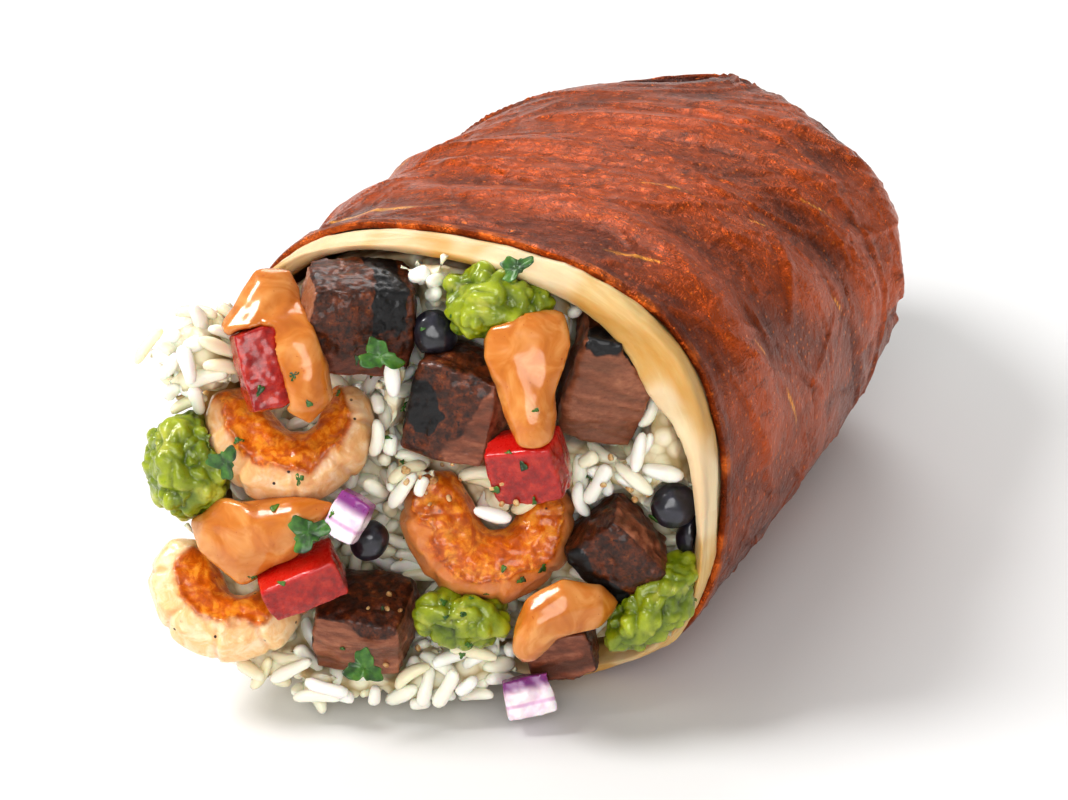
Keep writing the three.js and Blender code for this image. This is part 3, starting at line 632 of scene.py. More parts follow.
class BURRITO_OT_foil(bpy.types.Operator):
    """Wraps the creased foil with its folded edge and tucked-in end"""

    bl_idname = "burrito.foil"
    bl_label = "Foil wrap"

    def execute(self, context):
        wrap = context.scene.burrito_wrap
        ends = np.linspace(0, FOIL_LENGTH, 3000)
        profile = roll_point(np.full_like(ends, math.pi / 2), ends)
        travel = np.concatenate([[0], np.cumsum(np.linalg.norm(np.diff(profile, axis=0), axis=1))])
        outside = np.interp(np.linspace(0, travel[-1], FOIL_ALONG), travel, ends)
        turn = np.linspace(math.pi, 0, 7)[1:-1]
        rows_y = np.concatenate([[16, 10, 5, 2, 0.5], -0.35 * np.sin(turn), outside])
        rows_lift = np.concatenate([np.full(5, -1.15), -0.5 + 0.65 * np.cos(turn), np.zeros(len(outside))])
        piece, column, row = new_grid("foil_sheet", FOIL_AROUND, len(rows_y) - 1)
        wound = column * 2 * math.pi / FOIL_AROUND
        angle = (column % FOIL_AROUND) * 2 * math.pi / FOIL_AROUND
        y, lift = rows_y[row], rows_lift[row]
        shown = lift == 0
        edge = 0.7 * np.sin(angle * 3 + 1) + 0.35 * np.sin(angle * 8 + 2) + 0.2 * np.sin(angle * 17)
        y_moved = y + edge * smooth(9, 0, y)
        relief = crease(angle, y) + pleat(angle, y)
        ring = np.stack([np.cos(angle) * ROUND_RADIUS, np.sin(angle) * ROUND_RADIUS, y], -1)
        relief = relief + foil_creases(angle, y, wrap.wrinkles) * smooth(0.5, 5, y)
        relief = relief + 0.5 * cloud(ring, 17, 3) * smooth(2, 14, y)
        relief = relief + 0.12 * np.abs(cloud(ring, 3.4, 5)) * smooth(0, 4, y)
        end = smooth(FOIL_LENGTH * 0.84, FOIL_LENGTH * 0.97, y) * smooth(1, 0.99, y / FOIL_LENGTH)
        relief = relief - 0.9 * end * np.abs(np.sin(angle * 15.5 + 2 * cloud(ring, 12, 8)))
        hem = 0.3 * np.exp(-((y - 1.0) / 0.8) ** 2)
        lift = np.where(shown, relief + hem, lift)
        points = roll_point(angle, y_moved) + roll_normal(angle, np.maximum(y_moved, 0.1)) * lift[:, None]
        tips = y >= FOIL_LENGTH - 1e-6
        points[tips] = roll_point(np.zeros(1), np.array([FOIL_LENGTH]))[0]
        points[:, 2] = np.maximum(points[:, 2], 0)
        write_points(piece, points)
        set_pattern_map(piece, wound * ROUND_RADIUS, y)
        # Painted glints: bright streaks of colour laid along some creases.
        painted_glint = np.zeros(len(y))
        for at, start, length, width in GLINTS:
            s = (angle - at) * ROUND_RADIUS
            d = y - start
            along, across = s * 0.93 - d * 0.37, s * 0.37 + d * 0.93 + 0.5 * np.sin(s * 0.5)
            painted_glint = np.maximum(painted_glint, np.exp(-(along / length) ** 2 - (across / width) ** 2))
        painted_glint = np.where(shown, painted_glint, 0)
        edge_line = np.where(shown, smooth(1.5, 0.5, y), 1)
        write_share(piece, "painted_glint", painted_glint)
        write_share(piece, "rim", edge_line)
        # Painted light and shade: raised creases lighter, hollows darker, read by the foil's material.
        write_share(piece, "crease_light_and_shade", 0.5 - relief * 0.45)
        join_seam(piece)
        finish_piece(piece, self.foil_finish(wrap), "foil", "foil_wrap")
        return {"FINISHED"}

    def foil_finish(self, wrap):
        f = Finish("foil", Metallic=0.9, coat=(0.14, 0.18), Specular_IOR_Level=0.3)
        flat = f.pattern_map()
        # Painted light and shade: the foil is lighter on its ridges and darker in its creases, with some random
        # tone on top.
        tone = f.plus(f.times(f.share("crease_light_and_shade"), 0.55), f.times(f.noise(9, 4, 0.6), 0.6))
        bright = [min(1, c * 1.5) for c in wrap.foil_colour]
        shade = f.ramp(tone, (0.34, bright), (0.5, wrap.foil_colour), (0.76, wrap.foil_crease_shade))
        streaks = f.noise(2.4, 4, 0.65, f.stretched((1, 0.22, 1), (0, 0, 40), flat), unit=1)
        # Painted shade along the fine slanting crinkle streaks.
        shade = f.mix(f.step(streaks, 0.56, 0.72), shade, [c * 0.55 for c in wrap.foil_colour])
        pitch = wrap.dot_pitch * 1000
        grid = f.cells(pitch, source=flat, unit=1, randomness=0.0)
        dots = f.step(grid, 0.2, 0.08)
        lit = f.cells(pitch, output="Color", source=flat, unit=1, randomness=0.0)
        lucky = f.step(f.plus(f.add("ShaderNodeSeparateColor", {0: lit}).outputs[0],
                              f.times(f.noise(14, 2), 0.9)), 0.98, 1.35)
        # The dots are embossed into the bumps; a random share of them gets a painted sparkle colour.
        shade = f.mix(f.times(f.times(dots, lucky), 0.65), shade, wrap.dot_sparkle_colour)
        # Painted glints in a bright orange.
        painted_glint = f.times(f.share("painted_glint"), f.between(f.noise(1.1, 3, 0.6), 0.3, 1.4))
        shade = f.mix(f.step(painted_glint, 0.25, 0.7), shade, "ffb03c")
        rim = f.times(f.share("rim"), f.step(f.noise(5, 3), 0.42, 0.7))
        shade = f.mix(rim, shade, "d9702a")
        return f.done(shade, (f.noise(3.5, 4, 0.6), 0.16, 0.42),
                      (f.noise(2.6, 5, 0.66, warp=0.9), 1.0, 1.1), (dots, 0.5, 0.12), (streaks, 0.7, 0.6))


class BURRITO_OT_tortilla(bpy.types.Operator):
    """Rolls the tortilla, its soft lip standing out of the foil"""

    bl_idname = "burrito.tortilla"
    bl_label = "Tortilla"

    def execute(self, context):
        wrap = context.scene.burrito_wrap
        around = TORTILLA_AROUND
        angles = np.arange(around + 1) % around * 2 * math.pi / around

        def deep(y, inner):
            extra = 3.4 * smooth(FOIL_LENGTH * 0.76, FOIL_LENGTH * 0.93, np.full_like(angles, y))
            if inner:
                wall = lip_depth(angles) - 1.2
                thick = wall + (DEEP_THICKNESS + extra - wall) * smooth(-4, 40, y)
                return under_point(angles, np.full_like(angles, float(y)), TORTILLA_DEPTH + thick)
            return under_point(angles, np.full_like(angles, float(y)), TORTILLA_DEPTH + extra)

        depth = lip_depth(angles)
        wave = 0.5 * np.sin(angles * 9 + 2) + 0.4 * np.sin(angles * 14 + 1)
        tip = roll_point(np.zeros(1), np.array([FOIL_LENGTH]))[0]
        controls = [(np.tile(tip - (0, 6.3, 0), (around + 1, 1)), 2)]
        controls += [(deep(y, False), 2) for y in (141, 137, 124, 110, 87, 55, 25)]
        controls += [
            (deep(3, False), 6),
            (lip_point(angles, np.full_like(angles, 0.9), 0, 0.3), 10),
            (lip_point(angles, 0.4 + 0.5 * np.sin(angles * 5) ** 2, 0, 0.75), 9),
            (lip_point(angles, 1.2 + 0.4 * np.sin(angles * 7 + 1),
                       0.6 + 0.6 * np.sin(angles * 3) + 0.3 * wave), 8),
            (lip_point(angles, depth * 0.5, 1.6 + 0.6 * np.sin(angles * 4 + 2) + 0.4 * wave), 9),
            (lip_point(angles, depth - 0.6, 0.8 + 0.4 * np.sin(angles * 5) + 0.3 * wave), 8),
            (lip_point(angles, depth + 0.4, -1.6, 0.8), 8),
        ]
        controls += [(deep(y, True), 3) for y in (3, 25, 55, 87, 110, 124, 130)]
        controls += [(np.tile(tip - (0, 14, 0), (around + 1, 1)), 0)]
        rings = [c for c, _ in controls]
        rows, kinds = [], []
        for k, (_, parts) in enumerate(controls[:-1]):
            a, b, c, d = (rings[min(max(k + o, 0), len(rings) - 1)] for o in (-1, 0, 1, 2))
            for t in np.arange(parts) / parts:
                if 8 <= k <= 15:
                    rows.append(0.5 * (2 * b + (c - a) * t + (2 * a - 5 * b + 4 * c - d) * t * t
                                       + (3 * b - a - 3 * c + d) * t ** 3))
                else:
                    rows.append(b + (c - b) * t)
                kinds.append(k + t)
        rows.append(rings[-1])
        kinds.append(len(rings) - 1)
        rows, kinds = np.array(rows), np.array(kinds)
        piece, column, row = new_grid("tortilla_roll", around, len(rows) - 1)
        write_points(piece, rows[row, column])
        travel = np.concatenate([[0], np.cumsum(np.linalg.norm(np.diff(rows[:, 40], axis=0), axis=1))])
        angle = column * 2 * math.pi / around
        set_pattern_map(piece, angle * MOUTH_HALF_WIDTH, travel[row])
        near_top = np.exp(-(angle - 1.7) ** 2)
        write_share(piece, "oily", smooth(12.4, 13.8, kinds[row]) * (0.4 + 0.6 * near_top))
        join_seam(piece)
        p = read_points(piece)
        ripple = 0.34 * clouds(p * (0.5, 1, 0.5), 5, 2, 4) + 0.1 * clouds(p, 1.5, 2, 9)
        push(piece, np.where(p[:, 1] < 1.0, ripple - 0.1, 0))
        finish_piece(piece, self.tortilla_finish(wrap), "tortilla", "tortilla")
        return {"FINISHED"}

    def tortilla_finish(self, wrap):
        f = Finish("tortilla", soft=(0.25, 2), coat=(0.12, 0.35))
        flat = f.pattern_map()
        streaks = f.noise(7, 5, 0.62, f.stretched((0.16, 1.0, 1), (0, 0, 4), flat), warp=0.4, unit=1)
        fine = f.noise(1.6, 4, 0.6, f.stretched((0.3, 1.0, 1), (0, 0, -6), flat), unit=1)
        shade = f.ramp(streaks, (0.34, "e2c890"), (0.5, wrap.tortilla_colour),
                       (0.64, wrap.toast_colour), (0.8, "b57a34"))
        shade = f.mix(f.times(f.step(fine, 0.5, 0.72), 0.4), shade, "d8ae68")
        pale = f.step(f.noise(16, 2), 0.42, 0.6)
        shade = f.mix(f.times(pale, 0.45), shade, "f8efd6")
        oily = f.times(f.share("oily"), f.between(f.noise(2.6, 4, 0.65), 0.3, 1.5))
        shade = f.mix(f.step(oily, 0.25, 0.85), shade, "c98a24")
        specks = f.times(f.step(f.noise(0.9, 2), 0.66, 0.75), f.step(oily, 0.2, 0.7))
        shade = f.mix(specks, shade, "7a4314")
        return f.done(shade, (f.noise(3, 2), 0.42, 0.62),
                      (streaks, 0.5, 0.5), (fine, 0.4, 0.2), (f.noise(0.6, 3), 0.25, 0.1))


# Filling

STEAKS = [
    # node, size, place, turns, how pale its cut faces are
    ("steak_1", (19, 17.4, 16), (-14.4, 29.2, -4.6), (8, 16, -4), 0),
    ("steak_2", (16.6, 18.6, 15), (3.3, 15.3, -2), (4, -12, -12), 0.2),
    ("steak_3", (14.6, 22, 15), (27.2, 20, -5.4), (10, 8, -14), 0.45),
    ("steak_4", (12.8, 15.4, 14), (29.7, -9.4, -2.4), (6, -8, 42), 0.2),
    ("steak_5", (17, 13.6, 15), (-12.7, -24.2, -1), (22, -6, -4), 0.3),
    ("steak_6", (12.6, 9.6, 12), (20.2, -28.6, -5.4), (10, 0, 16), 0.1),
]


def steak_crust(node, p, n, w):
    """Shares of crust and char on a steak piece, from places, normals and a wobble in its own axes."""
    x, y, z = p.T
    top, front, left, right = n[:, 1], n[:, 2], -n[:, 0], n[:, 0]
    if node == "steak_1":
        crust = np.maximum(smooth(0.45, 0.8, top), smooth(0.4, 0.8, right))
        crust = np.maximum(crust, smooth(0.5, 0.85, front) * smooth(-0.62, -0.1, y + 0.25 * w))
        char = smooth(0.3, 0.2, np.abs(x - 0.42 + 0.12 * w)) * smooth(-0.15, 0.15, y + 0.2 * w)
        char *= smooth(0.1, 0.5, np.maximum(top, front))
    elif node == "steak_2":
        crust = np.maximum(smooth(0.4, 0.8, top), smooth(0.4, 0.8, left))
        crust = np.maximum(crust, smooth(0.5, 0.85, front) * smooth(0.62, 0.1, x - 0.35 * y + 0.3 * w))
        away = np.hypot((x + 0.6) / 0.5, (y - 0.02) / 0.62)
        char = smooth(1.0, 0.7, away + 0.3 * w) * smooth(0.2, 0.6, front)
        char = np.maximum(char, smooth(0.5, 0.8, left) * smooth(0.1, -0.1, np.abs(y) - 0.5))
    elif node == "steak_3":
        crust = smooth(0.5, 0.85, front) * smooth(0.5, 0.75, y + 0.12 * w)
        crust = np.maximum(crust, smooth(0.35, 0.75, top))
        char = smooth(0.36, 0.2, np.abs(z - 0.62 + 0.16 * w)) * smooth(0.3, 0.7, top)
        char = np.maximum(char, smooth(0.5, 0.8, front) * smooth(0.55, 0.72, y + 0.18 * w))
    elif node == "steak_4":
        crust = np.maximum(smooth(0.3, 0.7, front), smooth(0.4, 0.8, top))
        crust = np.maximum(crust, smooth(0.4, 0.8, left))
        char = smooth(-0.15, -0.5, x + 0.3 * w) * smooth(0.1, 0.5, np.maximum(front, left))
    elif node == "steak_5":
        crust = smooth(0.5, 0.85, front) * smooth(0.45, 0.85, y + 0.3 * w)
        crust = np.maximum(crust, smooth(0.35, 0.75, top))
        char = smooth(0.4, 0.8, left) * smooth(0.3, 0.0, np.abs(y)) * 0.8
    else:
        crust = np.maximum(smooth(0.4, 0.8, right), smooth(0.4, 0.8, -n[:, 1]))
        char = np.zeros(len(p))
    return crust, char


class BURRITO_OT_steak(bpy.types.Operator):
    """Makes the diced steak: grained crust, char marks and fibrous cut faces"""

    bl_idname = "burrito.steak"
    bl_label = "Steak"

    def execute(self, context):
        filling = context.scene.burrito_filling
        for k, (node, size, at, turns, paleness) in enumerate(STEAKS):
            piece = kneaded(node, f"steak_dice_{k + 1}", 0.4, 9, 0.1)
            p, n = own_axes(piece, at, turns)
            half = np.array(size) / 2
            wobble = clouds(p, 4.2, 3, k + 1)
            crust, char = steak_crust(node, p / half, n, wobble)
            fibre = clouds(p * (0.16, 1, 1) + wobble[:, None] * 0.4, 1.3, 3, 20 + k)
            grain = clouds(p, 1.1, 3, 40 + k)
            dents = 0.75 * cloud(p, 7, 60 + k) + 0.25 * cloud(p, 2.8, 80 + k)
            relief = dents + 0.24 * ((1 - crust) * fibre + crust * grain)
            push(piece, relief + char * (0.12 - 0.2 * np.abs(grain)) - 0.12)
            write_share(piece, "crust", crust + 0.25 * grain * (crust > 0.05) * (crust < 0.95))
            write_share(piece, "char", char * (1 + 0.4 * grain))
            write_share(piece, "fibre", 0.5 + 0.5 * fibre)
            pale = smooth(0.35, 0.8, -n[:, 0]) if node == "steak_1" else np.full(len(p), paleness)
            write_share(piece, "pale", pale)
            finish_piece(piece, self.steak_finish(filling, k), "steak", node)
        return {"FINISHED"}

    def steak_finish(self, filling, k):
        f = Finish(f"steak_{k + 1}", soft=(0.1, 2), coat=(0.35, 0.15), Specular_IOR_Level=0.35)
        fibre = f.share("fibre")
        lines = f.noise(0.8, 4, 0.65, f.stretched((0.3, 1, 1), (10 * k, 20, 30 * k)))
        meat = f.ramp(f.plus(f.times(fibre, 0.5), f.times(lines, 0.5)),
                      (0.3, tuple(c * 0.42 for c in filling.meat_colour)), (0.52, filling.meat_colour),
                      (0.74, "ae6e50"))
        meat = f.mix(f.share("pale"), meat, f.mix(lines, "783a22", "b8825e"))
        patches = f.noise(1.7, 6, 0.68)
        crust = f.ramp(patches, (0.32, "1a0802"), (0.48, filling.crust_colour), (0.6, "6e3212"),
                       (0.74, "a0602e"))
        crust = f.mix(f.step(f.noise(0.7, 3), 0.55, 0.72), crust, "24100a")
        shade = f.mix(f.step(f.share("crust"), 0.25, 0.7), meat, crust)
        shade = f.mix(f.step(f.share("char"), 0.3, 0.6), shade, "0a090c")
        return f.done(shade, (f.noise(0.9, 3, 0.6), 0.2, 0.6),
                      (lines, 0.45, 0.3), (f.noise(0.5, 4, 0.6), 0.55, 0.22), (patches, 0.3, 0.5))


SHRIMPS = [
    # node, ring radius, body, from and to degrees, place, turns, strength of the sear,
    # where the sear ends (-1 inside to 1 outside), share of orange in the sides
    ("shrimp_1", 9.9, 7.8, -208, 44, (-24.4, 12.4, -1.4), (-30, -4, 3), 0.75, 0.3, 0.25),
    ("shrimp_2", 9.9, 7.9, -220, 58, (9.2, -3.9, -1.6), (-20, 2, -4), 1.0, 0.75, 0.8),
    ("shrimp_3", 9.6, 7.6, -212, 30, (-34.2, -16.8, 0), (-34, -6, -6), 0.4, 0.1, 0.05),
]


class BURRITO_OT_shrimp(bpy.types.Operator):
    """Makes the curled shrimp, seared on their flat side"""

    bl_idname = "burrito.shrimp"
    bl_label = "Shrimp"

    def execute(self, context):
        filling = context.scene.burrito_filling
        for k, (node, radius, body, start, stop, at, turns, orange, edge, warm) in enumerate(SHRIMPS):
            piece = kneaded(node, f"shrimp_curl_{k + 1}", 0.4, 34, 0.35)
            p, n = own_axes(piece, at, turns)
            turn = np.degrees(np.arctan2(p[:, 1], p[:, 0]))
            share = np.clip(((turn - start) % 360) / (stop - start), 0, 1)
            reach = np.hypot(p[:, 0], p[:, 1])
            middle = radius - 0.25 * body * share
            outer = smooth(-2, 5, reach - middle)
            plates = (share * 6.2 + 0.1 * cloud(p, 4, 3)) % 1.0
            step = smooth(0, 0.12, plates) * smooth(1.0, 0.3, plates)
            furrow = np.exp(-(np.minimum(plates, 1 - plates) / 0.055) ** 2)
            flat = smooth(0.25, 0.8, n[:, 2])
            relief = outer * (0.3 * step - 0.2) - 0.32 * furrow * (0.3 + 0.7 * outer)
            relief += 0.3 * cloud(p, 3.4, 11 + k) + 0.16 * clouds(p, 1.5, 2, 31 + k) * (0.4 + flat)
            wander = clouds(p, 4.5, 3, 51 + k)
            across = (reach - middle) / (0.5 * body * (1 - 0.42 * share)) + 0.5 * wander
            ridge = np.exp(-((across - edge) / 0.2) ** 2) * flat
            push(piece, relief + 0.35 * ridge - 0.25 * flat * smooth(edge, edge - 0.5, across))
            sear = smooth(edge + 0.5, edge - 0.3, across) * smooth(-0.1, 0.35, n[:, 2])
            spots = smooth(0.05, 0.5, clouds(p, 2.2, 3, 71 + k))
            write_share(piece, "sear", sear * (0.55 + 0.45 * orange) + 0.3 * flat * orange)
            write_share(piece, "brown", (0.7 * ridge + 0.3 * spots * sear) * (0.4 + 0.6 * orange))
            write_share(piece, "furrow", furrow * outer)
            finish_piece(piece, self.shrimp_finish(filling, k, warm), "shrimp", node)
        return {"FINISHED"}

    def shrimp_finish(self, filling, k, warm):
        f = Finish(f"shrimp_{k + 1}", soft=(0.35, 4), coat=(0.5, 0.1), bleed=(1.0, 0.5, 0.3),
                   Specular_IOR_Level=0.35)
        streaks = f.noise(2.6, 4, 0.6, warp=0.8)
        pale = f.ramp(streaks, (0.35, "f9e3bf"), (0.55, filling.shrimp_colour), (0.75, "e6b07a"))
        pale = f.mix(warm, pale, "cc6c18")
        seared = f.ramp(f.noise(2.0, 5, 0.62, warp=0.5), (0.36, "f2a030"), (0.52, filling.sear_colour),
                        (0.72, "b04c06"))
        shade = f.mix(f.step(f.share("sear"), 0.12, 0.8), pale, seared)
        brown = f.times(f.share("brown"), f.step(f.noise(1.2, 4, 0.65), 0.36, 0.58))
        shade = f.mix(brown, shade, "8a3a08")
        shade = f.mix(f.times(f.share("furrow"), 0.25), shade, "c8763a")
        pepper = f.times(f.step(f.cells(2.6), 0.13, 0.08), f.step(f.noise(7, 1), 0.5, 0.6))
        shade = f.mix(pepper, shade, "3a1c0c")
        return f.done(shade, (f.noise(1.3, 3), 0.2, 0.45),
                      (streaks, 0.3, 0.4), (f.noise(0.8, 4, 0.6), 0.4, 0.22))


DICES = [
    # node, size, place, turns, axis on whose far side the skin is
    ("tomato_1", (8.2, 14.5, 8), (-28.6, 22.6, 5.4), (-14, 20, 12), 0),
    ("tomato_2", (12.8, 11, 9), (15.2, 8, 6.4), (10, -12, 12), 1),
    ("tomato_3", (14.8, 8, 9), (-22.2, -13.6, 7.4), (14, 8, 24), 1),
    ("onion_1", (6.8, 8.6, 4.6), (-14.3, -1.4, 8.6), (-10, -14, -26), 1),
    ("onion_2", (9.4, 7.6, 5.2), (15.2, -35.4, 1.8), (-16, 10, 12), 1),
]


class BURRITO_OT_vegetables(bpy.types.Operator):
    """Makes the diced tomato, the red onion and the black beans"""

    bl_idname = "burrito.vegetables"
    bl_label = "Tomato, onion and beans"

    def execute(self, context):
        filling = context.scene.burrito_filling
        tomato, onion = self.tomato_finish(filling), self.onion_finish(filling)
        for k, (node, size, at, turns, axis) in enumerate(DICES):
            kind = node.split("_")[0]
            piece = kneaded(node, node.replace("_", "_dice_"), 0.3, 5, 0.05)
            p, n = own_axes(piece, at, turns)
            skin = smooth(0.5, 0.85, n[:, axis])
            push(piece, (1 - skin) * (0.14 * clouds(p, 1.6, 2, 5 + k) + 0.3 * cloud(p, 4.5, 15 + k)) - 0.05)
            write_share(piece, "skin", skin)
            write_share(piece, "depth", 0.5 - p[:, axis] / size[axis])
            finish_piece(piece, tomato if kind == "tomato" else onion, kind, node)
        bean = self.bean_finish(filling)
        for k in range(1, 5):
            piece = kneaded(f"bean_{k}", f"black_bean_{k}", 0.3, 14, 0.25)
            p = read_points(piece)
            push(piece, 0.12 * cloud(p, 3, k) + 0.04 * cloud(p, 1.1, 9 + k))
            finish_piece(piece, bean, "bean", f"bean_{k}")
        return {"FINISHED"}

    def tomato_finish(self, filling):
        f = Finish("tomato", soft=(0.25, 3), coat=(0.5, 0.08), bleed=(1.0, 0.25, 0.15))
        flesh = f.ramp(f.noise(1.5, 5, 0.6), (0.35, "8a0a04"), (0.52, "aa1408"), (0.74, "cc3e24"))
        shade = f.mix(f.step(f.share("depth"), 0.04, 0.22), filling.tomato_colour, flesh)
        shade = f.mix(f.share("skin"), shade, filling.tomato_colour)
        return f.done(shade, (f.noise(0.8, 3), 0.15, 0.42), (f.noise(0.7, 4, 0.6), 0.3, 0.2))

    def onion_finish(self, filling):
        f = Finish("onion", soft=(0.4, 3), coat=(0.6, 0.15))
        flesh = f.ramp(f.noise(2.4, 3), (0.35, "faf0f2"), (0.65, "ecd2e2"))
        layers = f.math("SINE", f.times(f.share("depth"), 12.0))
        flesh = f.mix(f.step(layers, 0.75, 1.1), flesh, "d6a4cc")
        shade = f.mix(f.step(f.share("depth"), 0.2, 0.44), filling.onion_colour, flesh)
        grain = f.noise(1.6, 3, 0.5, f.stretched((1, 0.2, 1)))
        skin = f.ramp(grain, (0.35, "a44aa0"), (0.65, filling.onion_colour))
        shade = f.mix(f.share("skin"), shade, skin)
        return f.done(shade, (f.noise(1.0, 2), 0.2, 0.4), (f.noise(0.8, 3), 0.25, 0.2))

    def bean_finish(self, filling):
        f = Finish("bean", coat=(0.8, 0.14))
        shade = f.ramp(f.noise(2.4, 4), (0.4, filling.bean_colour), (0.7, "2c2b3c"))
        dusty = f.step(f.noise(1.2, 4, 0.6), 0.6, 0.75)
        shade = f.mix(f.times(dusty, 0.35), shade, "56505c")
        return f.done(shade, (f.noise(0.9, 3), 0.2, 0.45), (f.noise(1.0, 4), 0.3, 0.2))


class BURRITO_OT_guacamole(bpy.types.Operator):
    """Makes the lumps of guacamole, wet and uneven"""

    bl_idname = "burrito.guacamole"
    bl_label = "Guacamole"

    def execute(self, context):
        finish = self.guacamole_finish(context.scene.burrito_filling)
        for k in range(1, 5):
            piece = kneaded(f"guacamole_{k}", f"guacamole_lump_{k}", 0.34, 4, 0.0)
            p = read_points(piece)
            big = np.sqrt(np.abs(cloud(p, 3.6, k))) * 2 - 1
            small = np.sqrt(np.abs(cloud(p, 1.9, 10 + k))) * 2 - 1
            fine = np.abs(cloud(p, 0.95, 20 + k))
            push(piece, 0.9 * big + 0.5 * small + 0.25 * fine + 0.1)
            apply(piece, "SMOOTH", factor=0.3, iterations=1)
            # Painted light and shade: lumps lighter on top, darker in the hollows between them.
            write_share(piece, "height", 0.45 + 0.3 * big + 0.22 * small)
            finish_piece(piece, finish, "guacamole", f"guacamole_{k}")
        return {"FINISHED"}

    def guacamole_finish(self, filling):
        f = Finish("guacamole", soft=(0.3, 3), coat=(0.45, 0.1), bleed=(0.7, 1.0, 0.2))
        # Painted light and shade: dark green in the hollows, light yellow-green on the lumps, with some random
        # tone.
        tone = f.plus(f.times(f.share("height"), 0.6), f.times(f.noise(3.2, 4, 0.6), 0.55))
        shade = f.ramp(tone, (0.24, "364804"), (0.4, "667a06"), (0.58, filling.guacamole_colour),
                       (0.8, "acb628"))
        yellow = f.step(f.noise(5, 2), 0.56, 0.7)
        shade = f.mix(f.times(yellow, 0.5), shade, "d3cf58")
        deep = f.step(f.noise(2.1, 3), 0.63, 0.72)
        shade = f.mix(f.times(deep, 0.45), shade, "4c7412")
        return f.done(shade, (f.noise(1.0, 3), 0.18, 0.45),
                      (f.noise(1.3, 4, 0.6), 0.4, 0.35), (f.noise(0.5, 3), 0.25, 0.12))


class BURRITO_OT_sauce(bpy.types.Operator):
    """Makes the runs of glossy sauce"""

    bl_idname = "burrito.sauce"
    bl_label = "Sauce"

    def execute(self, context):
        finish = self.sauce_finish(context.scene.burrito_filling)
        for k in range(1, 5):
            piece = kneaded(f"sauce_{k}", f"sauce_run_{k}", 0.34, 22, 0.3)
            p = read_points(piece)
            push(piece, 0.34 * cloud(p, 4.6, k) + 0.1 * cloud(p, 1.9, 10 + k))
            apply(piece, "SMOOTH", factor=0.5, iterations=4)
            finish_piece(piece, finish, "sauce", f"sauce_{k}")
        return {"FINISHED"}

    def sauce_finish(self, filling):
        f = Finish("sauce", soft=(0.25, 3), coat=(0.45, 0.08), bleed=(1.0, 0.5, 0.2))
        shade = f.ramp(f.noise(5, 3, 0.55, warp=0.8), (0.35, "dc9a54"), (0.55, filling.sauce_colour),
                       (0.78, "b8661c"))
        specks = f.step(f.noise(0.6, 2), 0.7, 0.76)
        shade = f.mix(f.times(specks, 0.7), shade, "b04a18")
        return f.done(shade, (f.noise(2.5, 3), 0.14, 0.32), (f.noise(1.6, 3), 0.15, 0.2))


# Small things that are scattered

def grain_shape():
    """One grain of rice from a round primitive: its points, 1 long and 1 wide, and its faces."""
    bpy.ops.object.select_all(action="DESELECT")
    bpy.ops.mesh.primitive_uv_sphere_add(segments=8, ring_count=8, radius=1)
    piece = bpy.context.active_object
    co = np.array([v.co for v in piece.data.vertices], float)
    faces = [list(p.vertices) for p in piece.data.polygons]
    bpy.ops.object.delete()
    along = co[:, 2]
    wide = np.sqrt(np.maximum(0, 1 - np.abs(along) ** 4.5)) * 0.5
    ring = np.hypot(co[:, 0], co[:, 1])
    unit = np.where(ring[:, None] > 1e-6, co[:, :2] / np.maximum(ring[:, None], 1e-6), 0)
    return np.stack([along * 0.5, unit[:, 0] * wide, unit[:, 1] * wide * 0.86], -1), faces


def frame_from(axis, out):
    """Rotation whose first row of motion runs along axis and third looks out."""
    axis = axis / np.linalg.norm(axis)
    side = np.cross(out, axis)
    side /= max(np.linalg.norm(side), 1e-9)
    return np.stack([axis, side, np.cross(axis, side)], -1)


